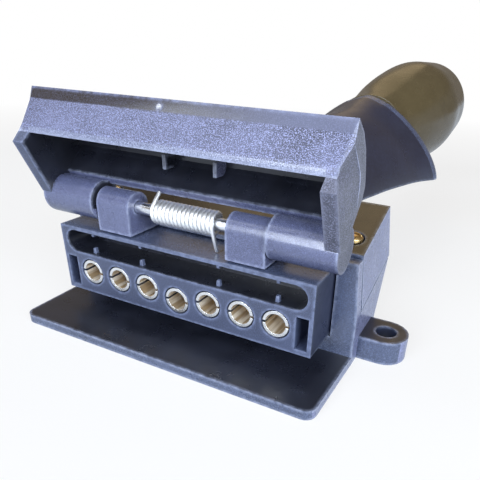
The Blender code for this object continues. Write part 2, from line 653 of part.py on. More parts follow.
def build_plug(plastic, insulator, brass):
    end = PLUG_OUTER[0][0]
    back = PLUG_OUTER[-1][0]
    inner = [(back, PLUG_WIRE_BORE_RADIUS), (PLUG_WIRE_BORE_END_S, PLUG_WIRE_BORE_RADIUS),
             (PLUG_CHAMBER_START_S, PLUG_CHAMBER_RADIUS), (PLUG_FLOOR_S, PLUG_CHAMBER_RADIUS),
             (PLUG_FLOOR_S, PLUG_MOUTH_RADIUS), (end, PLUG_MOUTH_RADIUS)]
    outline = inner + PLUG_OUTER
    outline.append(outline[0])
    shell = add_object("plug_shell", lathe(outline, PLUG_START, PLUG_DIRECTION, 32), plastic)
    boot_back = BOOT_STATIONS[-1][0] + BOOT_RIM_THICKNESS
    cut(shell, prism(rectangle(-60, 60, 40, boot_back + GAP), "Z", -20, 80), "boot_face")

    floor = PLUG_FLOOR_S + GAP
    face = floor + INSERT_THICKNESS
    disc = cylinder(along_plug(floor), along_plug(face), INSERT_RADIUS, 32)
    insert = add_object("plug_insert", disc, insulator)
    for number in range(1, WAY_COUNT + 1):
        radius, angle = plug_pin_place(number)
        below = along_plug(floor - OVERLAP, radius, angle)
        above = along_plug(face + OVERLAP, radius, angle)
        cut(insert, cylinder(below, above, PLUG_PIN_RADIUS + GAP, 16), f"pin_hole_{number}")
        tip = PLUG_PIN_TIP_S
        profile = [(tip, 0.0), (tip, PLUG_PIN_TIP_RADIUS), (tip - PLUG_PIN_TAPER, PLUG_PIN_RADIUS),
                   (PLUG_PIN_BACK_S, PLUG_PIN_RADIUS), (PLUG_PIN_BACK_S, 0.0)]
        origin = along_plug(0.0, radius, angle)
        add_object(f"plug_pin_{number}", lathe(profile, origin, PLUG_DIRECTION, 16), brass)


def wire_point(number, t):
    """Route of one wire: t 0 to 1 in the housing and boot, 1 to 2 in the plug."""
    x, z = way_centre(number)
    radius, angle = plug_pin_place(number)
    bundle = WIRE_BUNDLE_RADIUS if radius > 0 else 0.0
    side = bundle * math.cos(angle)
    rise = bundle * math.sin(angle)
    start_y = SLEEVE_BACK_Y + GAP
    if t <= 1.0:
        y = start_y + (PLUG_START.y - start_y) * t
        level = [(start_y, 0.0, WAY_ROW_Z), (start_y + WIRE_STRAIGHT, 0.0, WAY_ROW_Z)]
        middle_route = level + [WIRE_RISE] + [station[:3] for station in CHANNEL_STATIONS]
        centre = through_stations(middle_route, y)
        gather = min(max((y - start_y - WIRE_STRAIGHT) / (WIRE_GATHER_Y - start_y), 0.0), 1.0)
        gather = gather * gather * (3 - 2 * gather)
        own_x = (1 - gather) * x + gather * (centre[0] + side)
        own_z = (1 - gather) * (z - WAY_ROW_Z) + gather * rise + centre[1]
        return Vector((own_x, y, own_z))
    part = t - 1.0
    spread = part * part * (3 - 2 * part)
    reach = (1 - spread) * bundle + spread * radius
    return along_plug(part * (PLUG_PIN_BACK_S - GAP), reach, angle)


def build_wires(insulations):
    for number in range(1, WAY_COUNT + 1):
        points = [wire_point(number, 2 * i / (WIRE_POINTS - 1)) for i in range(WIRE_POINTS)]
        points.insert(1, points[0] + Vector((0.0, WIRE_STRAIGHT, 0.0)))
        tube(f"wire_{number}", points, WIRE_RADIUS, insulations[number - 1])


def main():
    remove_startup_objects()
    body_plastic = make_material("black_body_plastic", (0.035, 0.036, 0.042), 0.45, 0.0)
    lid_plastic = make_material("grained_lid_plastic", (0.045, 0.046, 0.055), 0.5, 0.0)
    block_plastic = make_material("contact_block_plastic", (0.03, 0.031, 0.036), 0.4, 0.0)
    boot_plastic = make_material("rear_boot_plastic", (0.03, 0.032, 0.04), 0.5, 0.0)
    plug_plastic = make_material("plug_plastic", (0.02, 0.018, 0.015), 0.3, 0.0)
    insulator = make_material("plug_insulator", (0.03, 0.03, 0.03), 0.5, 0.0)
    nickel = make_material("nickel_contact", (0.75, 0.74, 0.70), 0.25, 1.0)
    steel = make_material("bright_steel", (0.8, 0.8, 0.82), 0.2, 1.0)
    brass = make_material("brass", (0.78, 0.57, 0.25), 0.3, 1.0)
    colours = [(0.85, 0.75, 0.1), (0.05, 0.05, 0.05), (0.8, 0.8, 0.8), (0.1, 0.4, 0.12),
               (0.06, 0.12, 0.5), (0.55, 0.05, 0.05), (0.25, 0.12, 0.06)]
    insulations = []
    for number, tint in enumerate(colours, start=1):
        insulations.append(make_material(f"wire_insulation_{number}", tint, 0.5, 0.0))

    build_socket_body(body_plastic)
    build_contact_block(block_plastic)
    build_contacts(nickel, brass)
    build_lid(lid_plastic)
    build_hinge_pin(steel)
    build_spring(steel)
    build_rear_cover(body_plastic, brass)
    build_rear_boot(boot_plastic)
    build_plug(plug_plastic, insulator, brass)
    build_wires(insulations)


main()
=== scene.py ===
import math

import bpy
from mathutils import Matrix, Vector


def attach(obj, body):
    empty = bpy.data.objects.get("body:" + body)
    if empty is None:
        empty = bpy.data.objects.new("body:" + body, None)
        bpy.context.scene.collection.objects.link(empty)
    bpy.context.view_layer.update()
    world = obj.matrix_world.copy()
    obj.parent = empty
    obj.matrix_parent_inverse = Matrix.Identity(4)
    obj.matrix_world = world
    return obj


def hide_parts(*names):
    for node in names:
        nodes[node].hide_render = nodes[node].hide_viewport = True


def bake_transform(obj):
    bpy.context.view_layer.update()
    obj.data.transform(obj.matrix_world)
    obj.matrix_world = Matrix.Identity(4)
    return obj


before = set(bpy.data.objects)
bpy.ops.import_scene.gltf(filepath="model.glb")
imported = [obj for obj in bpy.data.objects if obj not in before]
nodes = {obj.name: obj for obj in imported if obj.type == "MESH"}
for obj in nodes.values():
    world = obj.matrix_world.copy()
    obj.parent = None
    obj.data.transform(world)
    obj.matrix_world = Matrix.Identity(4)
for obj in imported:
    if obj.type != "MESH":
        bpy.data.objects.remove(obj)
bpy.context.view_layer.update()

# %% [markdown]
# # A trailer wiring adaptor
# The object joins a flat seven-way socket, with a sprung lid that stands open, to a round plug behind it.
# The imported model gives each piece's true place and size, so nothing here has to be measured again.

MM = 0.001
scene = bpy.context.scene

# %% [markdown]
# ## The camera
# The picture was taken from close by, above the right front corner, so parallel edges run together.
# A camera can be placed by eye, but three direction vectors say the same thing exactly:
# one to the right of the picture, one into it, and the third square to both.
# The lens shift moves the frame without turning the camera, so that uprights keep their lean.

# %% Place the camera
PICTURE = 480
FOCAL_PIXELS = 477.15
CENTRE_PIXEL = (270.98, 303.88)
SENSOR_WIDTH = 36
CAMERA_PLACE = Vector((54.36, -69.30, 56.82)) * MM
PICTURE_RIGHT = Vector((0.894, 0.446, 0.037)).normalized()
LOOKING = Vector((-0.376, 0.794, -0.477))
picture_in = (LOOKING - PICTURE_RIGHT * LOOKING.dot(PICTURE_RIGHT)).normalized()
picture_up = PICTURE_RIGHT.cross(picture_in)
eye_data = bpy.data.cameras.new("picture_camera")
eye_data.sensor_width = SENSOR_WIDTH
eye_data.lens = SENSOR_WIDTH * FOCAL_PIXELS / PICTURE
eye_data.shift_x = (PICTURE / 2 - CENTRE_PIXEL[0]) / PICTURE
eye_data.shift_y = (CENTRE_PIXEL[1] - PICTURE / 2) / PICTURE
eye_data.clip_start = MM
eye = bpy.data.objects.new("picture_camera", eye_data)
eye_turn = Matrix((PICTURE_RIGHT, picture_up, -picture_in)).transposed().to_4x4()
eye.matrix_world = Matrix.Translation(CAMERA_PLACE) @ eye_turn
scene.collection.objects.link(eye)
scene.camera = eye
print("camera lens in mm:", round(eye_data.lens, 2))

# %% [markdown]
# ## Picking parts of a mesh
# Working by hand, one clicks on the points, edges or faces to be changed.
# In a script the same choice is made by a question that each part answers with yes or no.
# Everything is deselected first: a face that stays selected would select its edges and points again.

# %% Helpers for picking
def only(piece):
    """Select one object and make it active, so that operators touch nothing else."""
    bpy.ops.object.select_all(action="DESELECT")
    piece.select_set(True)
    bpy.context.view_layer.objects.active = piece


def pick(piece, kind, wanted):
    """Select the points, edges or faces for which wanted(part) is true, and stay in edit mode."""
    only(piece)
    bpy.ops.object.mode_set(mode="EDIT")
    bpy.ops.mesh.select_mode(type=kind)
    bpy.ops.mesh.select_all(action="DESELECT")
    bpy.ops.object.mode_set(mode="OBJECT")
    parts = {"VERT": piece.data.vertices, "EDGE": piece.data.edges, "FACE": piece.data.polygons}
    for part in parts[kind]:
        part.select = wanted(part)
    bpy.ops.object.mode_set(mode="EDIT")


def ends(piece, edge):
    """The places of an edge's two end points."""
    return [piece.data.vertices[index].co for index in edge.vertices]


def off_line(point, line):
    """How far a point is from a line that runs along X."""
    return math.hypot(point.y - line.y, point.z - line.z)


def turn_outward(piece):
    """Make all faces of a closed piece look outwards."""
    only(piece)
    bpy.ops.object.mode_set(mode="EDIT")
    bpy.ops.mesh.select_all(action="SELECT")
    bpy.ops.mesh.normals_make_consistent(inside=False)
    bpy.ops.object.mode_set(mode="OBJECT")


print("picking helpers ready")

# %% [markdown]
# ## Rounding the moulded pieces
# No moulded edge is truly sharp: the mould itself is polished round, and the round edge catches the light.
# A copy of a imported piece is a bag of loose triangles, so it is merged and its flats made whole first.
# A bevel modifier then rounds every edge that turns more than a set angle.
# Weighted normals keep the large flats flat, so that the shading bends only on the narrow round.

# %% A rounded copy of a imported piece
MERGE_WITHIN = 0.002 * MM
FLAT_WITHIN = math.radians(1)
ROUND_FROM = math.radians(28)
SMOOTH_BELOW = math.radians(35)
HOUSING_ROUND = 0.35
COVER_ROUND = 0.55


def soften(piece, width, segments=3):
    """Round the edges by a width in millimetres and keep the flats flat."""
    only(piece)
    bevel = piece.modifiers.new("round", "BEVEL")
    bevel.width = width * MM
    bevel.segments = segments
    bevel.limit_method = "ANGLE"
    bevel.angle_limit = ROUND_FROM
    bpy.ops.object.modifier_apply(modifier=bevel.name)
    bpy.ops.object.shade_smooth_by_angle(angle=SMOOTH_BELOW)
    flats = piece.modifiers.new("flats", "WEIGHTED_NORMAL")
    flats.keep_sharp = True
    bpy.ops.object.modifier_apply(modifier=flats.name)


def whole_copy(node, name):
    """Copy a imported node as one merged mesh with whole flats."""
    piece = bpy.data.objects.new(name, nodes[node].data.copy())
    piece.data.name = name
    piece.data.materials.clear()
    scene.collection.objects.link(piece)
    only(piece)
    if piece.data.has_custom_normals:
        bpy.ops.mesh.customdata_custom_splitnormals_clear()
    bpy.ops.object.mode_set(mode="EDIT")
    bpy.ops.mesh.select_all(action="SELECT")
    bpy.ops.mesh.remove_doubles(threshold=MERGE_WITHIN)
    bpy.ops.mesh.dissolve_limited(angle_limit=FLAT_WITHIN)
    bpy.ops.object.mode_set(mode="OBJECT")
    return piece


def rounded_copy(node, name, width):
    """A copy of a socket node with rounded edges, which stands for the node."""
    piece = whole_copy(node, name)
    soften(piece, width)
    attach(piece, "socket")
    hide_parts(node)
    return piece


housing = rounded_copy("socket_body", "housing", HOUSING_ROUND)
cover = rounded_copy("rear_cover", "upper_cover", COVER_ROUND)
print("housing faces:", len(housing.data.polygons), "cover faces:", len(cover.data.polygons))

# %% [markdown]
# ## The lid
# The lid is one moulding: a sloping front wall, end walls, a hollow behind, and two barrels round the pin.
# The lip over its mouth is rounder than the other edges, and shows as a bright band, which its own paler
# finish paints as a highlight.
# So that one edge is found by its place and bevelled first, and the modifier then rounds the rest.

# %% Round the lid
LIP_LINE = Vector((0, -2.95, 41.1)) * MM
LIP_ROUND = 1.0 * MM
ON_LINE = 0.05 * MM
LID_ROUND = 0.4
lid = whole_copy("spring_lid", "lid_hood")
pick(lid, "EDGE", lambda edge: all(off_line(point, LIP_LINE) < ON_LINE for point in ends(lid, edge)))
bpy.ops.mesh.bevel(offset=LIP_ROUND, segments=5, affect="EDGES")
bpy.ops.object.mode_set(mode="OBJECT")
soften(lid, LID_ROUND)
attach(lid, "lid")
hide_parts("spring_lid")
print("lid faces:", len(lid.data.polygons))

# %% [markdown]
# Where the plastic was let into the mould, a small broken stub is left on the lid's upper edge.
# A short cylinder is a good start: its top is drawn in, pushed off centre and rounded, as a snapped stub is.

# %% Gate stub on the lid's upper edge
STUB_PLACE = Vector((-1.9, 1.3, 46.65)) * MM
STUB_LEAN = math.radians(52)
STUB_RADIUS = 0.5 * MM
STUB_HEIGHT = 0.7 * MM
STUB_DRAWN_IN = 0.2 * MM
STUB_RISE = 0.15 * MM
STUB_ASIDE = Vector((0.1, 0, 0)) * MM
STUB_ROUND = 0.12
bpy.ops.object.select_all(action="DESELECT")
bpy.ops.mesh.primitive_cylinder_add(vertices=16, radius=STUB_RADIUS, depth=STUB_HEIGHT,
                                    location=STUB_PLACE, rotation=(STUB_LEAN, 0, 0))
stub = bpy.context.object
stub.name = "gate_stub"
bpy.ops.object.transform_apply(location=True, rotation=True, scale=True)
stub_out = Vector((0, -math.sin(STUB_LEAN), math.cos(STUB_LEAN)))
pick(stub, "FACE", lambda face: face.normal.dot(stub_out) > 0.9)
bpy.ops.mesh.inset(thickness=STUB_DRAWN_IN)
bpy.ops.transform.translate(value=stub_out * STUB_RISE + STUB_ASIDE)
bpy.ops.object.mode_set(mode="OBJECT")
soften(stub, STUB_ROUND, segments=2)
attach(stub, "lid")
print("gate stub faces:", len(stub.data.polygons))

# %% [markdown]
# ## The contact block and its sleeves
# The block is a separate moulding that slides into the housing, with seven round ways in a row.
# Each way holds a split sleeve: plated outside and bare brass inside, where the plug's blade rubs it.
# The middle way is set a little lower than the others.
# Each sleeve's middle line is kept, because the finishes need it to tell the inside from the outside.

# %% Round the block and the sleeves
WAYS = 7
WAY_PITCH = 7.5
WAY_ROW_Z = 11.05
CENTRE_DROP = 1.1
BLOCK_ROUND = 0.28
SLEEVE_ROUND = 0.16
block = rounded_copy("contact_block", "contact_carrier", BLOCK_ROUND)
sleeves = []
for way in range(WAYS):
    sleeve = rounded_copy(f"contact_sleeve_{way + 1}", f"split_sleeve_{way + 1}", SLEEVE_ROUND)
    from_centre = way - WAYS // 2
    drop = 0 if from_centre else CENTRE_DROP
    sleeves.append((sleeve, Vector((from_centre * WAY_PITCH, 0, WAY_ROW_Z - drop)) * MM))
print("sleeves:", len(sleeves), "faces each:", len(sleeves[0][0].data.polygons))

# %% [markdown]
# Small nibs stand on the two long walls of the upper slot, a little way in, four on each wall.
# One is drawn from a cube: its free end is drawn in by scaling the upper face, and its edges are rounded.
# The others are copies with meshes of their own; those on the upper wall are turned upside down.

# %% Nibs in the upper slot
NIB_PLACES = (-22.2, -9.4, 9.4, 22.2)
NIB_HEIGHT = 1.1
NIB_SIZE = (0.9, 1.0, NIB_HEIGHT + 0.2)
NIB_TAPER = (0.7, 0.8, 1.0)
NIB_ROUND = 0.12
SLOT_MIDDLE = Vector((0, 1.6, 17.7)) * MM
SLOT_HALF_HEIGHT = 2.45
nib_middle = SLOT_MIDDLE - Vector((0, 0, SLOT_HALF_HEIGHT - NIB_HEIGHT / 2)) * MM
bpy.ops.object.select_all(action="DESELECT")
bpy.ops.mesh.primitive_cube_add(size=MM, location=nib_middle, scale=NIB_SIZE)
pattern = bpy.context.object
pattern.name = "slot_nib_pattern"
bpy.ops.object.transform_apply(location=True, rotation=True, scale=True)
pick(pattern, "FACE", lambda face: face.normal.z > 0.9)
bpy.ops.transform.resize(value=NIB_TAPER)
bpy.ops.object.mode_set(mode="OBJECT")
soften(pattern, NIB_ROUND)
to_slot = Matrix.Translation(SLOT_MIDDLE)
upside_down = to_slot @ Matrix.Rotation(math.pi, 4, "Y") @ to_slot.inverted()
nibs = []
for wall, pose in (("lower", Matrix.Identity(4)), ("upper", upside_down)):
    for number, place in enumerate(NIB_PLACES, start=1):
        nib = bpy.data.objects.new(f"slot_nib_{wall}_{number}", pattern.data.copy())
        nib.data.transform(Matrix.Translation((place * MM, 0, 0)) @ pose)
        scene.collection.objects.link(nib)
        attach(nib, "socket")
        nibs.append(nib)
bpy.data.objects.remove(pattern)
print("slot nibs:", len(nibs))

# %% [markdown]
# ## The torsion spring
# A close-wound spring round the pin pushes the lid shut: one leg bears on the lid, the other on the block.
# A small circle swept by the Screw modifier gives the whole coil in one go.

# %% Wind the spring
HINGE = Vector((0, 4.0, 26.7)) * MM
WIRE = 0.4 * MM
COIL = 2.1 * MM
COIL_LEFT = -6.2 * MM
COIL_RIGHT = 7.77 * MM
COIL_TURNS = 15
START_ANGLE = math.radians(133)
END_ANGLE = math.radians(198)
STEPS_PER_TURN = 22
bpy.ops.object.select_all(action="DESELECT")
bpy.ops.mesh.primitive_circle_add(vertices=12, radius=WIRE)
spring = bpy.context.object
spring.name = "lid_torsion_spring"
start_out = Vector((0, math.cos(START_ANGLE), math.sin(START_ANGLE)))
for vertex in spring.data.vertices:
    vertex.co = Vector((COIL_LEFT + vertex.co.x, 0, 0)) + start_out * (COIL + vertex.co.y)
sweep = 2 * math.pi * COIL_TURNS + END_ANGLE - START_ANGLE
coil = spring.modifiers.new("coil", "SCREW")
coil.axis = "X"
coil.angle = sweep
coil.screw_offset = COIL_RIGHT - COIL_LEFT
coil.steps = int(STEPS_PER_TURN * sweep / (2 * math.pi))
coil.render_steps = coil.steps
coil.use_merge_vertices = False
bpy.ops.object.modifier_apply(modifier=coil.name)
print("spring points:", len(spring.data.vertices))

# %% [markdown]
# The last ring at each end is open. It is picked by its place, drawn out along the wire and closed.
# On the real socket the coil winds up when the lid turns.

# %% Draw out the legs
UPPER_LEG = 3.2 * MM
LOWER_LEG = 5.0 * MM
ROUND_WIRE_SMOOTH = math.radians(50)


def draw_leg(angle, along, length, side):
    """Extrude the coil's end ring near an angle and an X place, straight along the wire."""
    centre = Vector((along, COIL * math.cos(angle), COIL * math.sin(angle)))
    forward = Vector((0, -math.sin(angle), math.cos(angle))) * side
    only(spring)
    bpy.ops.object.mode_set(mode="EDIT")
    bpy.ops.mesh.select_mode(type="VERT")
    bpy.ops.mesh.select_all(action="DESELECT")
    bpy.ops.mesh.select_non_manifold(extend=False)
    bpy.ops.object.mode_set(mode="OBJECT")
    for vertex in spring.data.vertices:
        vertex.select = vertex.select and (vertex.co - centre).length < WIRE * 1.5
    for edge in spring.data.edges:
        edge.select = all(spring.data.vertices[index].select for index in edge.vertices)
    bpy.ops.object.mode_set(mode="EDIT")
    bpy.ops.mesh.extrude_region_move(TRANSFORM_OT_translate={"value": forward * length})
    bpy.ops.mesh.edge_face_add()
    bpy.ops.object.mode_set(mode="OBJECT")


draw_leg(START_ANGLE, COIL_LEFT, UPPER_LEG, -1)
draw_leg(END_ANGLE, COIL_RIGHT, LOWER_LEG, 1)
spring.data.transform(Matrix.Translation(HINGE))
turn_outward(spring)
bpy.ops.object.shade_smooth_by_angle(angle=ROUND_WIRE_SMOOTH)
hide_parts("lid_spring")
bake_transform(spring)
print("spring faces:", len(spring.data.polygons))

# %% [markdown]
# ## The boot and the plug
# Both are tubes whose section changes along the way, so one way of working serves both.
# A circle is extruded ring by ring, as one would by hand, and each ring is then moved to its true section.
# A hidden number on each point remembers its place round the ring, and its height tells the ring.
# The sections between two measured stations lie on a smooth curve through all of them.

# %% A tube made ring by ring
def ring_tube(name, around, ring_count, place):
    """Extrude a circle ring_count - 1 times and put each point where place(ring, turn) says."""
    bpy.ops.object.select_all(action="DESELECT")
    bpy.ops.mesh.primitive_circle_add(vertices=around, radius=10 * MM)
    tube = bpy.context.object
    tube.name = name
    tube.data.attributes.new("turn", "INT", "POINT")
    for index, item in enumerate(tube.data.attributes["turn"].data):
        item.value = index
    bpy.ops.object.mode_set(mode="EDIT")
    bpy.ops.mesh.select_mode(type="VERT")
    bpy.ops.mesh.select_all(action="SELECT")
    for _ in range(ring_count - 1):
        bpy.ops.mesh.extrude_region_move(TRANSFORM_OT_translate={"value": (0, 0, MM)})
    bpy.ops.object.mode_set(mode="OBJECT")
    turns = [item.value for item in tube.data.attributes["turn"].data]
    rings = [round(vertex.co.z / MM) for vertex in tube.data.vertices]
    for vertex in tube.data.vertices:
        vertex.co = place(rings[vertex.index], turns[vertex.index])
    tube.data.attributes.remove(tube.data.attributes["turn"])
    for end in (0, ring_count - 1):
        pick(tube, "VERT", lambda vertex: rings[vertex.index] == end)
        bpy.ops.mesh.edge_face_add()
        bpy.ops.object.mode_set(mode="OBJECT")
    turn_outward(tube)
    return tube


def along_curve(stations, place):
    """Read a row of stations at a place, on a smooth curve through all of them."""
    count = len(stations)
    for index in range(count - 1):
        if place <= stations[index + 1][0] or index == count - 2:
            break
    before = stations[max(index - 1, 0)]
    start = stations[index]
    end = stations[index + 1]
    after = stations[min(index + 2, count - 1)]
    span = end[0] - start[0]
    part = (place - start[0]) / span
    values = []
    for column in range(1, len(start)):
        slope_in = (end[column] - before[column]) / (end[0] - before[0]) * span
        slope_out = (after[column] - start[column]) / (after[0] - start[0]) * span
        values.append((2 * part**3 - 3 * part**2 + 1) * start[column]
                      + (part**3 - 2 * part**2 + part) * slope_in
                      + (3 * part**2 - 2 * part**3) * end[column]
                      + (part**3 - part**2) * slope_out)
    return values


print("ring tube ready")

# %% [markdown]
# The boot starts broad at the cover's back, narrows to a neck and flares again to a flat-bottomed rim.
# Its section is a dome on a flat base. Each station gives the place along Y, the middle, the half width,
# and the low and high edge. Just before the rim the boot is drawn in a little, so that the rim stands out.
# Such a dome has a slight ridge on top, which is smoothed away sideways and upwards only.

# %% The flared boot
BOOT_STATIONS = [
    (31.5, 0.0, 27.0, 17.0, 27.0),
    (46.0, 1.7, 19.7, 21.0, 33.0),
    (60.0, 4.2, 20.1, 21.9, 38.0),
    (75.0, 7.2, 22.8, 22.1, 42.3),
    (88.0, 9.85, 25.0, 21.6, 44.4),
]
WAIST = [(31.5, 0.0), (58.0, 0.0), (79.0, 1.8), (83.0, 1.4), (88.0, 0.0)]
WAIST_AT_SIDES = 0.6
BOOT_START = 31.5
BOOT_END = 91.0
BOOT_RINGS = 50
RIM_ROUND = 1.3
RIM_RINGS = 6
RIM_AT_SIDES = 1.2
RIM_AT_BASE = 0.6
DOME_POINTS = 56
BASE_POINTS = 16
DOME_POWER = 2 / 1.44
CREST_REACH = 6.0
CREST_ROUNDS = 12
BOOT_ROUND = 0.5
last_straight = BOOT_RINGS - RIM_RINGS - 1


def boot_section(y):
    """The boot's middle, half width, low edge and high edge at a place; the rim keeps the last station's."""
    return along_curve(BOOT_STATIONS, min(y, BOOT_STATIONS[-1][0]))


def boot_point(ring, turn):
    """Where one point of the boot lies: the dome first, then back along the flat base."""
    if ring <= last_straight:
        y = BOOT_START + (BOOT_END - RIM_ROUND - BOOT_START) * ring / last_straight
        drawn_in = 0.0
    else:
        bend = math.pi / 2 * (ring - last_straight) / RIM_RINGS
        y = BOOT_END - RIM_ROUND * (1 - math.sin(bend))
        drawn_in = RIM_ROUND * (1 - math.cos(bend))
    middle, half, low, high = boot_section(y)
    waist = along_curve(WAIST, min(y, WAIST[-1][0]))[0]
    half -= drawn_in * RIM_AT_SIDES + waist * WAIST_AT_SIDES
    low += drawn_in * RIM_AT_BASE
    high -= drawn_in + waist
    if turn <= DOME_POINTS:
        angle = math.pi * turn / DOME_POINTS
        across = math.cos(angle)
        x = middle + half * math.copysign(abs(across) ** DOME_POWER, across)
        z = low + (high - low) * max(math.sin(angle), 0.0) ** DOME_POWER
    else:
        x = middle - half + 2 * half * (turn - DOME_POINTS) / BASE_POINTS
        z = low
    return Vector((x, y, z)) * MM


def on_crest(vertex):
    """True for the points near the boot's ridge."""
    x, y, z = vertex.co / MM
    middle, _, low, high = boot_section(y)
    return abs(x - middle) < CREST_REACH and z > (low + high) / 2


boot = ring_tube("flared_boot", DOME_POINTS + BASE_POINTS, BOOT_RINGS, boot_point)
pick(boot, "VERT", on_crest)
bpy.ops.mesh.vertices_smooth(factor=0.5, repeat=CREST_ROUNDS, yaxis=False)
bpy.ops.object.mode_set(mode="OBJECT")
soften(boot, BOOT_ROUND)
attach(boot, "socket")
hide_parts("rear_boot")
print("boot faces:", len(boot.data.polygons))

# %% [markdown]
# The boot's foot is a thin flange that lies against the cover's back and closes the opening for the wires.
# A cube is a good start for a plate: the four short edges at its corners are bevelled wide,
# and then all its edges a little.

# %% The boot's foot
FOOT_MIDDLE = Vector((0, 31.95, 21.1)) * MM
FOOT_THICKNESS = 1.3
FOOT_SIZE = (50.0, FOOT_THICKNESS, 7.4)
FOOT_CORNER = 2.4 * MM
FOOT_ROUND = 0.3
bpy.ops.object.select_all(action="DESELECT")
bpy.ops.mesh.primitive_cube_add(size=MM, location=FOOT_MIDDLE, scale=FOOT_SIZE)
foot = bpy.context.object
foot.name = "boot_foot"
bpy.ops.object.transform_apply(location=True, rotation=True, scale=True)


def through_plate(edge):
    """True for the edges that run through the plate from its front to its back."""
    first, second = ends(foot, edge)
    return abs(first.y - second.y) > FOOT_THICKNESS / 2 * MM


pick(foot, "EDGE", through_plate)
bpy.ops.mesh.bevel(offset=FOOT_CORNER, segments=6, affect="EDGES")
bpy.ops.object.mode_set(mode="OBJECT")
soften(foot, FOOT_ROUND)
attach(foot, "socket")
print("boot foot faces:", len(foot.data.polygons))

# %% [markdown]
# The plug's barrel swells from the boot and closes in again at its mouth, on an axis of its own.
# Its rings run up the outside, over the rounded lip and down the inside to the floor of the mouth.
# The first ring lies flat on the boot's end face, so each of its points finds its own place along the axis.

# %% The plug barrel
PLUG_START = Vector((9.5, 91.0, 31.9))
PLUG_YAW = math.radians(11.5)
PLUG_PITCH = math.radians(7.7)
PLUG_BASE_Y = 91.3
PLUG_OUTSIDE = [(-8.0, 11.7), (6.0, 12.4), (17.5, 15.0), (26.0, 16.3), (35.0, 16.9), (42.5, 15.9),
                (49.2, 14.8)]
PLUG_LIP = [(49.7, 14.65), (50.1, 14.3), (50.3, 13.8), (50.3, 13.0), (50.1, 12.55), (49.7, 12.3)]
PLUG_MOUTH = [(49.0, 12.2), (44.0, 12.2), (38.0, 12.2), (31.0, 12.2), (30.0, 12.2)]
PLUG_STEPS = 40
PLUG_AROUND = 96
RING_APART = 0.02
PLUG_ROUND = 0.35
plug_axis = Vector((math.sin(PLUG_YAW) * math.cos(PLUG_PITCH),
                    math.cos(PLUG_YAW) * math.cos(PLUG_PITCH),
                    math.sin(PLUG_PITCH)))
plug_side = plug_axis.cross(Vector((0, 0, 1))).normalized()
plug_up = plug_side.cross(plug_axis)
plug_places = [step * PLUG_OUTSIDE[-1][0] / PLUG_STEPS for step in range(PLUG_STEPS + 1)]
plug_rings = [(place, along_curve(PLUG_OUTSIDE, place)[0]) for place in plug_places]
plug_rings += PLUG_LIP + PLUG_MOUTH


def plug_point(ring, turn):
    """Where one point of the barrel lies; the first ring is laid on the boot's end face."""
    along, radius = plug_rings[ring]
    angle = 2 * math.pi * turn / PLUG_AROUND
    spoke = plug_side * math.cos(angle) * radius + plug_up * math.sin(angle) * radius
    base = (PLUG_BASE_Y - PLUG_START.y - spoke.y) / plug_axis.y
    return (PLUG_START + spoke + plug_axis * max(along, base + RING_APART * ring)) * MM


barrel = ring_tube("plug_barrel", PLUG_AROUND, len(plug_rings), plug_point)
soften(barrel, PLUG_ROUND)
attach(barrel, "socket")
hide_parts("plug_shell")
print("barrel faces:", len(barrel.data.polygons))

# %% [markdown]
# Where the two halves of the mould met, a thin uneven bead is left on each end of the lid.
# It is a very thin ring tube laid along the end's ridge, and thinner at its two ends.
# The other end's bead is a mirrored copy, whose faces are turned outwards again afterwards.

# %% Parting lines on the lid's ends
PARTING_X = 33.58
PARTING_LINE = [(0, 0.9, 44.3), (1, 2.6, 42.5), (2, 4.3, 40.7), (3, 5.5, 39.2), (4, 5.88, 37.4),
                (5, 5.94, 35.5), (6, 6.0, 33.6)]
PARTING_RINGS = 61
PARTING_AROUND = 8
PARTING_RADIUS = 0.14
THIN_END = 0.35
SWELLING = 0.5
UNEVENNESS = 0.15
WAVE_PER_RING = 2.3
STEP_AHEAD = 0.01


def parting_point(ring, turn):
    """Where one point of the bead lies, on a small circle square to the line."""
    share = ring / (PARTING_RINGS - 1)
    along = share * PARTING_LINE[-1][0]
    y, z = along_curve(PARTING_LINE, along)
    next_y, next_z = along_curve(PARTING_LINE, along + STEP_AHEAD)
    across = Vector((0, z - next_z, next_y - y)).normalized()
    swelling = SWELLING * math.sin(math.pi * share) + UNEVENNESS * math.sin(WAVE_PER_RING * ring)
    angle = 2 * math.pi * turn / PARTING_AROUND
    spoke = Vector((1, 0, 0)) * math.cos(angle) + across * math.sin(angle)
    return (Vector((PARTING_X, y, z)) + spoke * PARTING_RADIUS * (THIN_END + swelling)) * MM


right_line = ring_tube("parting_line_right", PARTING_AROUND, PARTING_RINGS, parting_point)
left_line = bpy.data.objects.new("parting_line_left", right_line.data.copy())
left_line.data.transform(Matrix.Scale(-1, 4, (1, 0, 0)))
scene.collection.objects.link(left_line)
parting_lines = [right_line, left_line]
for line in parting_lines:
    turn_outward(line)
    bpy.ops.object.shade_smooth_by_angle(angle=ROUND_WIRE_SMOOTH)
    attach(line, "lid")
print("parting line faces:", len(right_line.data.polygons))

# %% [markdown]
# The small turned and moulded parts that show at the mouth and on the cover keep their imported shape.
# Only their hard edges are rounded, by less than on the large mouldings.

# %% Small parts
SCREW_ROUND = 0.25
PIN_ROUND = 0.3
SMALL_ROUND = 0.2
screws = [rounded_copy(f"cover_screw_{side}", f"brass_screw_{side}", SCREW_ROUND)
          for side in ("left", "right")]
insert = rounded_copy("plug_insert", "pin_carrier", SMALL_ROUND)
pins = [rounded_copy(f"plug_pin_{way + 1}", f"round_pin_{way + 1}", PIN_ROUND) for way in range(WAYS)]
rod = rounded_copy("hinge_pin", "hinge_rod", SMALL_ROUND)
print("small parts:", len(screws + pins + [insert, rod]))
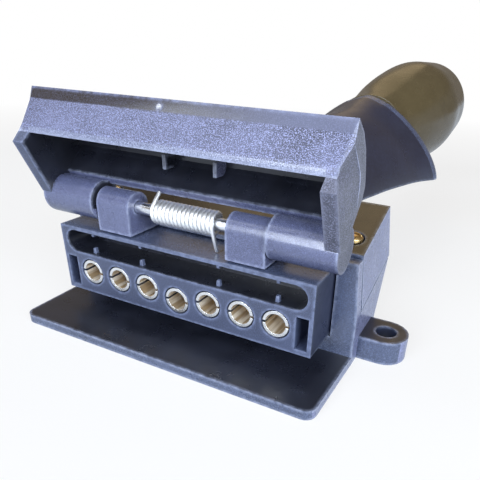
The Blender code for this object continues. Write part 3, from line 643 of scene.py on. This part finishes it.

# %% [markdown]
# ## Finishes
# Every finish starts from one shader, and small node chains give it colour, roughness and relief.
# Patterns read Object coordinates in metres, so a scale of 3000 means grains a third of a millimetre wide.
# Worn and highlit edges, painted paler partly for wear and partly as highlight, are found by looking
# inwards: near an outer edge, short rays soon leave the piece again.

# %% Helpers for the finishes
EDGE_REACH = 0.7 * MM
EDGE_BREAKS = 900


def start_finish(name):
    """Make a material and give back its node tree and shader."""
    finish = bpy.data.materials.new(name)
    finish.use_nodes = True
    return finish, finish.node_tree, finish.node_tree.nodes["Principled BSDF"]


def add(tree, kind, values, **settings):
    """Add a node, set its options, and set or link its inputs."""
    item = tree.nodes.new(kind)
    for name, value in settings.items():
        setattr(item, name, value)
    for name, value in values.items():
        if isinstance(value, bpy.types.NodeSocket):
            tree.links.new(value, item.inputs[name])
        else:
            item.inputs[name].default_value = value
    return item


def noise(tree, scale, detail=2.0, stretch=(1, 1, 1)):
    """A noise pattern of a scale per metre, which can be drawn out along an axis."""
    place = add(tree, "ShaderNodeTexCoord", {}).outputs["Object"]
    drawn = add(tree, "ShaderNodeMapping", {"Vector": place, "Scale": stretch}).outputs["Vector"]
    values = {"Vector": drawn, "Scale": scale, "Detail": detail}
    return add(tree, "ShaderNodeTexNoise", values).outputs["Fac"]


def spread(tree, value, start, end, low, high):
    """Turn a value between start and end into one between low and high."""
    values = {"Value": value, "From Min": start, "From Max": end, "To Min": low, "To Max": high}
    return add(tree, "ShaderNodeMapRange", values).outputs["Result"]


def mix(tree, factor, first, second):
    """Mix two colours."""
    return add(tree, "ShaderNodeMix", {0: factor, 6: first, 7: second}, data_type="RGBA").outputs[2]


def sum_up(tree, operation, first, second, clamp=False):
    """Work out one value from two."""
    values = {0: first, 1: second}
    return add(tree, "ShaderNodeMath", values, operation=operation, use_clamp=clamp).outputs[0]


def worn_and_highlit_edge(tree):
    """A mask that is 1 on outer edges and 0 on flats, broken up by noise, for wear and painted highlight."""
    inside = add(tree, "ShaderNodeAmbientOcclusion", {"Distance": EDGE_REACH}, inside=True, samples=8)
    edge = spread(tree, inside.outputs["AO"], 0.98, 0.70, 0.0, 1.0)
    breaks = spread(tree, noise(tree, EDGE_BREAKS, 3), 0.35, 0.65, 0.25, 1.0)
    return sum_up(tree, "MULTIPLY", edge, breaks)


print("finish helpers ready")

# %% [markdown]
# The mouldings are black plastic; the blue cast of their colours, and the much paler colours of lit faces,
# are painted sheen of cool light. The lid has a coarse spark-eroded grain, the body a finer one, and the
# plug almost none.
# Colour drifts slowly over the surface, the grain adds lighter specks that paint its glints, and the edges
# are paler,
# partly from wear and partly as painted highlight. The same recipe serves all of them with other numbers:
# three colours, roughness, the grain's scale per metre, its depth in millimetres and the share of specks.
# The lid's finish has one thing more, a smooth strip along its top,
# with a painted reflection that is warm at the left and cool at the right.

# %% Moulded plastics
PLASTIC_SHINE = 0.9
PLUG_SHINE = 0.45
DRIFT_SCALE = 70
DRIFT_SHARE = 0.35
CLOUD_SCALE = 260
STRIP_Z = 45.8
STRIP_FADE = 0.3
STRIP_COOLS_FROM = 2.0
STRIP_COOL_FROM = 24.0
STRIP_GRAIN = 0.15
STRIP_POLISH = 0.36
STRIP_COVER = 0.9
# Painted reflections on the strip: the warm surroundings at the left, the cool lamp at the right.
STRIP_WARM_REFLECTION = (0.036, 0.030, 0.025, 1)
STRIP_COOL_REFLECTION = (0.095, 0.105, 0.175, 1)


def moulded_plastic(name, dark, pale, edge, rough, grain, depth, speck, shine=PLASTIC_SHINE, strip=False):
    """Grained plastic: a slow drift of colour, lighter specks as painted glints, edges paler from wear and
    as painted highlight, and a grain in relief.
    """
    finish, tree, shader = start_finish(name)
    dark, pale, edge = ((*colour, 1) for colour in (dark, pale, edge))
    drift = spread(tree, noise(tree, DRIFT_SCALE, 3), 0.3, 0.7, 0.0, DRIFT_SHARE)
    fine = noise(tree, grain, 3)
    specks = spread(tree, fine, 0.47, 0.63, 0.0, speck)
    relief = add(tree, "ShaderNodeBump", {"Height": fine, "Strength": 1.0, "Distance": depth * MM})
    colour = mix(tree, drift, dark, pale)
    roughness = spread(tree, noise(tree, CLOUD_SCALE, 4), 0.3, 0.7, rough - 0.06, rough + 0.07)
    if strip:
        place = add(tree, "ShaderNodeTexCoord", {}).outputs["Object"]
        along = add(tree, "ShaderNodeSeparateXYZ", {"Vector": place}).outputs
        smooth = spread(tree, along["Z"], STRIP_Z * MM, (STRIP_Z + STRIP_FADE) * MM, 0.0, 1.0)
        rightward = spread(tree, along["X"], STRIP_COOLS_FROM * MM, STRIP_COOL_FROM * MM, 0.0, 1.0)
        grained = spread(tree, smooth, 0.0, 1.0, 1.0, STRIP_GRAIN)
        specks = sum_up(tree, "MULTIPLY", specks, grained)
        tree.links.new(grained, relief.inputs["Strength"])
        polished = sum_up(tree, "SUBTRACT", smooth, rightward, clamp=True)
        polish = spread(tree, polished, 0.0, 1.0, 1.0, STRIP_POLISH)
        roughness = sum_up(tree, "MULTIPLY", roughness, polish)
        strip_reflection_colour = mix(tree, rightward, STRIP_WARM_REFLECTION, STRIP_COOL_REFLECTION)
        colour = mix(tree, sum_up(tree, "MULTIPLY", smooth, STRIP_COVER), colour, strip_reflection_colour)
    grained_colour = mix(tree, specks, colour, pale)
    tree.links.new(mix(tree, worn_and_highlit_edge(tree), grained_colour, edge), shader.inputs["Base Color"])
    tree.links.new(roughness, shader.inputs["Roughness"])
    tree.links.new(relief.outputs["Normal"], shader.inputs["Normal"])
    shader.inputs["Specular IOR Level"].default_value = shine
    return finish


# Painted sheen: the lid's pale blue stands in for the cool lamp mirrored in its sloping wall; the plastic is
# black.
lid_finish = moulded_plastic(
    "grained_lid_plastic", dark=(0.012, 0.013, 0.026), pale=(0.310, 0.335, 0.560), edge=(0.20, 0.22, 0.34),
    rough=0.40, grain=5600, depth=0.07, speck=1.0, strip=True)
# Painted highlight: a paler, glossier copy of the lid plastic for the lip's lower round, also used on the
# parting lines.
lip_highlight_finish = moulded_plastic(
    "lip_painted_highlight_plastic", dark=(0.070, 0.078, 0.130), pale=(0.380, 0.410, 0.580), edge=(0.36, 0.39, 0.52),
    rough=0.30, grain=5600, depth=0.040, speck=0.9)
# Painted shade: a darker copy of the lid plastic for the lid's end faces and the right end wall's front
# edge.
shaded_end_finish = moulded_plastic(
    "grained_end_painted_shade", dark=(0.009, 0.010, 0.018), pale=(0.190, 0.200, 0.290), edge=(0.18, 0.19, 0.27),
    rough=0.40, grain=4400, depth=0.08, speck=1.0)
# Glossier plastic for the hinge, its colours raised as painted light where the barrels and lugs face the
# front lamp.
lit_hinge_finish = moulded_plastic(
    "glossy_painted_lit_hinge_plastic", dark=(0.060, 0.068, 0.125), pale=(0.185, 0.205, 0.360),
    edge=(0.28, 0.31, 0.45), rough=0.27, grain=6400, depth=0.018, speck=0.8)
# Painted sheen: a much paler copy of the plastic for the side walls, which face the right lamp and the
# bright floor.
side_sheen_finish = moulded_plastic(
    "grained_side_painted_sheen", dark=(0.100, 0.110, 0.189), pale=(0.354, 0.383, 0.624), edge=(0.32, 0.35, 0.47),
    rough=0.28, grain=4200, depth=0.020, speck=0.7)
body_finish = moulded_plastic(
    "satin_body_plastic", dark=(0.036, 0.047, 0.085), pale=(0.125, 0.155, 0.265), edge=(0.24, 0.27, 0.38),
    rough=0.26, grain=4200, depth=0.014, speck=0.7)
# Painted shade: a near-black copy of the plastic for the lid's hollow, the block's slot and the tray top.
smooth_shaded_finish = moulded_plastic(
    "smooth_painted_shade_plastic", dark=(0.009, 0.010, 0.016), pale=(0.026, 0.029, 0.045), edge=(0.20, 0.22, 0.30),
    rough=0.30, grain=170, depth=0.020, speck=0.3)
# Painted reflection: the cover's top is given the dark brown of the warm surroundings it mirrors.
roof_reflection_finish = moulded_plastic(
    "smooth_roof_painted_reflection", dark=(0.011, 0.008, 0.005), pale=(0.027, 0.020, 0.011), edge=(0.16, 0.16, 0.17),
    rough=0.28, grain=300, depth=0.010, speck=0.3)
block_finish = moulded_plastic(
    "satin_block_plastic", dark=(0.022, 0.029, 0.058), pale=(0.092, 0.116, 0.215), edge=(0.15, 0.18, 0.29),
    rough=0.46, grain=4200, depth=0.012, speck=0.6)
boot_finish = moulded_plastic(
    "smooth_boot_plastic", dark=(0.012, 0.015, 0.032), pale=(0.029, 0.036, 0.074), edge=(0.12, 0.14, 0.20),
    rough=0.32, grain=1500, depth=0.004, speck=0.3)
# Painted reflection: the black plug is given the brown of the warm surroundings it mirrors.
plug_reflection_finish = moulded_plastic(
    "glossy_plug_painted_reflection", dark=(0.078, 0.058, 0.027), pale=(0.122, 0.093, 0.046), edge=(0.10, 0.075, 0.04),
    rough=0.24, grain=300, depth=0.0015, speck=0.2, shine=PLUG_SHINE)
# Painted glint: the stub is given a near-white colour.
stub_glint_finish = moulded_plastic(
    "stub_painted_glint", dark=(0.06, 0.06, 0.07), pale=(0.70, 0.71, 0.78), edge=(0.60, 0.60, 0.64),
    rough=0.26, grain=2400, depth=0.100, speck=0.9)
carrier_finish = moulded_plastic(
    "pin_carrier_plastic", dark=(0.030, 0.030, 0.032), pale=(0.065, 0.065, 0.07), edge=(0.14, 0.14, 0.14),
    rough=0.45, grain=2600, depth=0.014, speck=0.4)
print("plastics from", lid_finish.name, "to", carrier_finish.name)

# %% [markdown]
# Metal differs from plastic in that its colour is the colour of its reflections.
# Plating shows faint clouds and fine scratches; turned rod and drawn wire carry fine lines.
# The sleeves' insides carry long light and dark streaks along the sleeve.

# %% Metals
TARNISH_SCALE = 420
STREAK_SCALE = 900
ALONG_X = (0.1, 1, 1)
ALONG_Y = (1, 0.15, 1)
LONG_STREAKS = (1, 0.05, 1)
NO_WAY = (1, 1, 1)


def worked_metal(name, bright, dull, rough, lines, scale, depth, streaks=None, metallic=1.0):
    """Bare or plated metal with clouds of a duller colour, or long streaks of it, and fine lines left by the
    tool.
    """
    finish, tree, shader = start_finish(name)
    if streaks:
        dull_share = spread(tree, noise(tree, STREAK_SCALE, 2, streaks), 0.42, 0.58, 0.0, 1.0)
    else:
        dull_share = spread(tree, noise(tree, TARNISH_SCALE, 4), 0.4, 0.75, 0.0, 0.7)
    tree.links.new(mix(tree, dull_share, (*bright, 1), (*dull, 1)), shader.inputs["Base Color"])
    scratches = noise(tree, scale, 3, lines)
    tree.links.new(spread(tree, scratches, 0.3, 0.7, rough - 0.05, rough + 0.09), shader.inputs["Roughness"])
    relief = add(tree, "ShaderNodeBump", {"Height": scratches, "Strength": 0.6, "Distance": depth * MM})
    tree.links.new(relief.outputs["Normal"], shader.inputs["Normal"])
    shader.inputs["Metallic"].default_value = metallic
    return finish


nickel_finish = worked_metal(
    "nickel_plate", bright=(0.93, 0.92, 0.90), dull=(0.72, 0.70, 0.66),
    rough=0.22, lines=ALONG_Y, scale=2600, depth=0.006)
inside_finish = worked_metal(
    "sleeve_inside", bright=(0.97, 0.89, 0.76), dull=(0.52, 0.39, 0.24),
    rough=0.34, lines=ALONG_Y, scale=2000, depth=0.010, streaks=LONG_STREAKS, metallic=0.55)
brass_finish = worked_metal(
    "bare_brass", bright=(0.72, 0.53, 0.25), dull=(0.46, 0.32, 0.14),
    rough=0.28, lines=ALONG_Y, scale=2400, depth=0.006)
spring_finish = worked_metal(
    "bright_spring_wire", bright=(0.98, 0.98, 0.98), dull=(0.90, 0.91, 0.92),
    rough=0.46, lines=NO_WAY, scale=2400, depth=0.005)
rod_finish = worked_metal(
    "ground_steel_rod", bright=(0.84, 0.85, 0.87), dull=(0.60, 0.61, 0.63),
    rough=0.26, lines=ALONG_X, scale=2600, depth=0.006)
print("metals from", nickel_finish.name, "to", rod_finish.name)

# %% [markdown]
# The wires inside are PVC-covered, one colour each.
# They are hardly seen, but a part in a library may be opened up.

# %% Wire covers
SCUFF_SCALE = 900
SCUFF_DEPTH = 0.02 * MM
SCUFF_SHADE = 0.6


def wire_cover(name, colour):
    """Soft matt plastic cover with a slightly scuffed surface."""
    finish, tree, shader = start_finish(name)
    scuff = noise(tree, SCUFF_SCALE, 4)
    scuffed = spread(tree, scuff, 0.35, 0.7, 0.0, 0.8)
    darker = tuple(channel * SCUFF_SHADE for channel in colour)
    tree.links.new(mix(tree, scuffed, (*colour, 1), (*darker, 1)), shader.inputs["Base Color"])
    tree.links.new(spread(tree, scuff, 0.3, 0.7, 0.42, 0.58), shader.inputs["Roughness"])
    relief = add(tree, "ShaderNodeBump", {"Height": scuff, "Strength": 0.5, "Distance": SCUFF_DEPTH})
    tree.links.new(relief.outputs["Normal"], shader.inputs["Normal"])
    return finish


WIRE_COLOURS = {
    "yellow": (0.72, 0.52, 0.03), "black": (0.02, 0.02, 0.02), "white": (0.72, 0.72, 0.70),
    "green": (0.04, 0.30, 0.08), "blue": (0.04, 0.10, 0.45), "red": (0.50, 0.03, 0.03),
    "brown": (0.20, 0.09, 0.04),
}
wire_finishes = [wire_cover(f"wire_cover_{word}", colour) for word, colour in WIRE_COLOURS.items()]
print("wire covers:", len(wire_finishes))

# %% [markdown]
# ## Dressing the pieces
# Each piece gets its main finish.
# The wires and clamp screws inside keep their imported meshes, so only their materials are changed.

# %% Give each piece its finish
dressed = []


def dress(piece, finish):
    """Give a piece one finish and add it to the list of dressed pieces."""
    piece.data.materials.clear()
    piece.data.materials.append(finish)
    dressed.append(piece)


dress(housing, body_finish)
dress(cover, body_finish)
dress(lid, lid_finish)
dress(stub, stub_glint_finish)
dress(block, block_finish)
dress(boot, boot_finish)
dress(foot, boot_finish)
dress(barrel, plug_reflection_finish)
dress(insert, carrier_finish)
for nib in nibs:
    dress(nib, block_finish)
# The beads carry the lip's painted highlight.
for line in parting_lines:
    dress(line, lip_highlight_finish)
dress(spring, spring_finish)
dress(rod, rod_finish)
for piece in screws + pins:
    dress(piece, brass_finish)
for sleeve, _ in sleeves:
    dress(sleeve, nickel_finish)
for way in range(WAYS):
    for node, finish in ((f"wire_{way + 1}", wire_finishes[way]), (f"terminal_screw_{way + 1}", rod_finish)):
        for slot in nodes[node].material_slots:
            slot.material = finish
print("dressed pieces:", len(dressed))

# %% [markdown]
# One mesh can carry several finishes when its faces point to different material slots.
# The mould left some faces smoother than others, and most zones are painted light and shade:
# lighter finishes where light falls or is mirrored, darker ones in hollows and on faces turned from the
# lamps.
# Each such zone is described by where its faces lie and which way they look.

# %% Zones with a finish of their own
LID_MIDDLE = Vector((0, 3.5, 38.0)) * MM
LID_INNER_X = 31.0 * MM
LID_END_X = 32.8 * MM
WALL_EDGE_X = LID_INNER_X - 0.6 * MM
BARREL_REACH = 4.4 * MM
SIDE_WALL_X = 34.0 * MM
TRAY_AND_EAR_TOP = 6 * MM
EAR_HOLE = Vector((39.8, 17.9)) * MM
EAR_HOLE_REACH = 2.9 * MM
LUG_FOOT_Z = 21.3 * MM
LUG_BACK_Y = 9.5 * MM
SLOT_FRONT_Y = 0.3 * MM
SLOT_END_X = 29 * MM
SLOT_REACH = (SLOT_HALF_HEIGHT + 0.1) * MM
BLOCK_END_X = max(vertex.co.x for vertex in block.data.vertices) - 0.5 * MM
BLOCK_TOP_Z = max(vertex.co.z for vertex in block.data.vertices) - 0.5 * MM
BOOT_RIM_Y = (BOOT_END - 3.6) * MM
SLEEVE_MOUTH_Y = 0.4 * MM
SLEEVE_INSIDE = 2.35 * MM


def second_finish(piece, finish, wanted):
    """Give the faces for which wanted(face) is true another finish."""
    piece.data.materials.append(finish)
    for face in piece.data.polygons:
        if wanted(face):
            face.material_index = len(piece.data.materials) - 1


def sideways(face, limit=0.8):
    """True for the faces that look to the left or right."""
    return abs(face.normal.x) > limit


def in_lid_hollow(face):
    """True for the faces that look into the lid's hollow, and false for the barrels below it."""
    inwards = LID_MIDDLE - face.center
    if abs(face.center.x) >= LID_INNER_X:
        return False
    if sideways(face, 0.7):
        return inwards.x * face.normal.x > 0 and face.center.z > HINGE.z
    inwards.x = 0
    return inwards.dot(face.normal) > 0 and off_line(face.center, HINGE) >= BARREL_REACH


def on_wall_edge(face):
    """True for the front edges of the lid's end walls, between barrel and lip."""
    between = HINGE.z + BARREL_REACH < face.center.z < LIP_LINE.z - LIP_ROUND
    return between and abs(face.center.x) > WALL_EDGE_X and face.normal.y < -0.3


def on_barrel(face):
    """True for the round faces of the lid's barrels."""
    near = off_line(face.center, HINGE) < BARREL_REACH and abs(face.center.x) < LID_INNER_X
    return near and abs(face.normal.x) < 0.7


def on_lip(face):
    """True for the lower part of the lid's round lip."""
    return off_line(face.center, LIP_LINE) < LIP_ROUND and -0.6 < face.normal.z < 0.25


def in_ear_hole(face):
    """True for the walls and the round rims of the holes in the ears."""
    away = math.hypot(abs(face.center.x) - EAR_HOLE.x, face.center.y - EAR_HOLE.y)
    return away < EAR_HOLE_REACH and abs(face.normal.z) < 0.95


def in_slot(face):
    """True for the inside of the block's upper slot."""
    inside = face.center.y > SLOT_FRONT_Y and abs(face.center.x) < SLOT_END_X
    return inside and abs(face.center.z - SLOT_MIDDLE.z) < SLOT_REACH


# Painted shade in the lid's hollow.
second_finish(lid, smooth_shaded_finish, in_lid_hollow)
# Painted shade on the front edges of the lid's end walls: the darker end plastic on the right, the darker
# block plastic on the left.
second_finish(lid, shaded_end_finish, lambda face: on_wall_edge(face) and face.center.x > 0)
second_finish(lid, block_finish, lambda face: on_wall_edge(face) and face.center.x < 0)
# Painted light on the lid's barrels.
second_finish(lid, lit_hinge_finish, on_barrel)
# Painted highlight on the lower round of the lip.
second_finish(lid, lip_highlight_finish, on_lip)
# Painted shade on the lid's end faces.
second_finish(lid, shaded_end_finish, lambda face: sideways(face) and abs(face.center.x) > LID_END_X)
# Painted warm reflection on the cover's top.
second_finish(cover, roof_reflection_finish, lambda face: face.normal.z > 0.8)
# Painted sheen on the cover's sides.
second_finish(cover, side_sheen_finish, sideways)
# Painted shade on the tray top.
second_finish(housing, smooth_shaded_finish, lambda face: face.normal.z > 0.95 and face.center.z < TRAY_AND_EAR_TOP)
# Painted sheen on the housing's side walls.
second_finish(housing, side_sheen_finish, lambda face: sideways(face) and abs(face.center.x) > SIDE_WALL_X)
# Painted shade in the ear holes.
second_finish(housing, boot_finish, in_ear_hole)
# Painted light on the hinge lugs.
second_finish(housing, lit_hinge_finish, lambda face: face.center.z > LUG_FOOT_Z and face.center.y < LUG_BACK_Y)
# Painted shade in the block's slot.
second_finish(block, smooth_shaded_finish, in_slot)
# Painted sheen on the block's top, in the lighter body plastic.
second_finish(block, body_finish, lambda face: face.normal.z > 0.9 and face.center.z > BLOCK_TOP_Z)
# Painted shade on the block's end faces.
second_finish(block, boot_finish, lambda face: sideways(face) and abs(face.center.x) > BLOCK_END_X)
# Painted highlight along the boot's rim, in the paler body plastic.
second_finish(boot, body_finish, lambda face: face.center.y > BOOT_RIM_Y and face.normal.y < 0.9)
for sleeve, middle in sleeves:
    second_finish(sleeve, inside_finish, lambda face: face.center.y > SLEEVE_MOUTH_Y and math.hypot(
        face.center.x - middle.x, face.center.z - middle.z) < SLEEVE_INSIDE)
print("finishes on the lid:", len(lid.data.materials), "on the housing:", len(housing.data.materials))

# %% [markdown]
# ## Floor, light and background
# A wide white floor meets a white surrounding without an edge. Seen straight on or in a reflection the floor
# glows at just white, and round the object a share of plain matt white keeps its shadow.

# %% White floor
FLOOR_SIZE = 6.0
FLOOR_Z = -0.05 * MM
SHADOW_SHARE = 0.24
SHADOW_REACH = 0.22
SHADOW_END = 0.45
WHITE = (1, 1, 1, 1)
COOL_WHITE = (0.80, 0.88, 1.0, 1)
MATT_WHITE = (0.85, 0.85, 0.85, 1)
bpy.ops.object.select_all(action="DESELECT")
bpy.ops.mesh.primitive_plane_add(size=FLOOR_SIZE, location=(0, 0, FLOOR_Z))
floor = bpy.context.object
floor.name = "studio_floor"
bpy.ops.object.transform_apply(location=True, rotation=True, scale=True)


def seen_directly(tree):
    """1 for rays from the camera, from a mirror or through glass, and 0 for scattered light."""
    path = add(tree, "ShaderNodeLightPath", {}).outputs
    straight = sum_up(tree, "MAXIMUM", path["Is Camera Ray"], path["Is Glossy Ray"])
    return sum_up(tree, "MAXIMUM", straight, path["Is Transmission Ray"])


floor_finish, tree, shader = start_finish("matt_white_floor")
shader.inputs["Base Color"].default_value = MATT_WHITE
shader.inputs["Roughness"].default_value = 0.9
shader.inputs["Specular IOR Level"].default_value = 0.0
in_mirror = add(tree, "ShaderNodeLightPath", {}).outputs["Is Glossy Ray"]
glow_colour = mix(tree, in_mirror, WHITE, COOL_WHITE)
glow = add(tree, "ShaderNodeEmission", {"Color": glow_colour, "Strength": seen_directly(tree)})
spot = add(tree, "ShaderNodeTexCoord", {}).outputs["Object"]
away = add(tree, "ShaderNodeVectorMath", {0: spot}, operation="LENGTH").outputs["Value"]
matt_share = spread(tree, away, SHADOW_REACH, SHADOW_END, SHADOW_SHARE, 0.0)
both = add(tree, "ShaderNodeMixShader", {0: matt_share, 1: glow.outputs[0], 2: shader.outputs[0]})
tree.links.new(both.outputs[0], tree.nodes["Material Output"].inputs["Surface"])
dress(floor, floor_finish)
print("floor size in metres:", FLOOR_SIZE)

# %% [markdown]
# The camera sees a plain white surrounding. Reflections see another: a cool white low in front,
# and a dim warm brown above and behind, which is what makes dark glossy plastic look dark.

# %% White surroundings
DIM_WARM = (0.24, 0.19, 0.14, 1)
SCATTERED_LEVEL = 0.30
world = bpy.data.worlds.new("white_surroundings")
world.use_nodes = True
scene.world = world
tree = world.node_tree
direction = add(tree, "ShaderNodeTexCoord", {}).outputs["Generated"]
way_out = add(tree, "ShaderNodeSeparateXYZ", {"Vector": direction}).outputs
above = spread(tree, way_out["Z"], 0.05, 0.40, 0.0, 1.0)
behind = spread(tree, way_out["Y"], 0.2, 0.7, 0.0, 0.85)
reflected = mix(tree, sum_up(tree, "MAXIMUM", above, behind), COOL_WHITE, DIM_WARM)
by_camera = add(tree, "ShaderNodeLightPath", {}).outputs["Is Camera Ray"]
background = tree.nodes["Background"].inputs
tree.links.new(mix(tree, by_camera, reflected, WHITE), background["Color"])
tree.links.new(spread(tree, seen_directly(tree), 0.0, 1.0, SCATTERED_LEVEL, 1.0), background["Strength"])
scene.view_settings.view_transform = "Standard"
print("surroundings:", world.name)

# %% [markdown]
# The main light is cool and comes from low in front, so upright walls are bright and the tray, also painted
# near-black as shade, stays dark.
# A second cool lamp stands where the lid's sloping wall mirrors it: dark plastic shows what it mirrors.
# A weak one lights the right side, and a warm one behind tints the cover and the plug, whose brown colours
# also paint that warm reflection.
# Each row gives a lamp's name, its place in metres, its watts, its width and its colour.

# %% Soft lamps
LIT_POINT = Vector((0, 0.02, 0.035))
LAMPS = [
    ("front_key", (-0.10, -0.64, 0.28), 5.4, 0.40, (0.80, 0.88, 1.0)),
    ("upper_key", (-0.294, -0.147, 0.532), 0.9, 0.30, (0.80, 0.88, 1.0)),
    ("right_fill", (0.30, -0.16, 0.16), 1.7, 0.25, (0.82, 0.90, 1.0)),
    ("warm_back", (-0.18, 0.50, 0.52), 0.5, 0.45, (1.0, 0.76, 0.44)),
]
for name, place, watts, width, colour in LAMPS:
    lamp_data = bpy.data.lights.new(name, "AREA")
    lamp_data.energy = watts
    lamp_data.size = width
    lamp_data.color = colour
    lamp = bpy.data.objects.new(name, lamp_data)
    lamp.location = place
    lamp.rotation_euler = (LIT_POINT - lamp.location).to_track_quat("-Z", "Y").to_euler()
    scene.collection.objects.link(lamp)
print("lamps:", len(LAMPS))
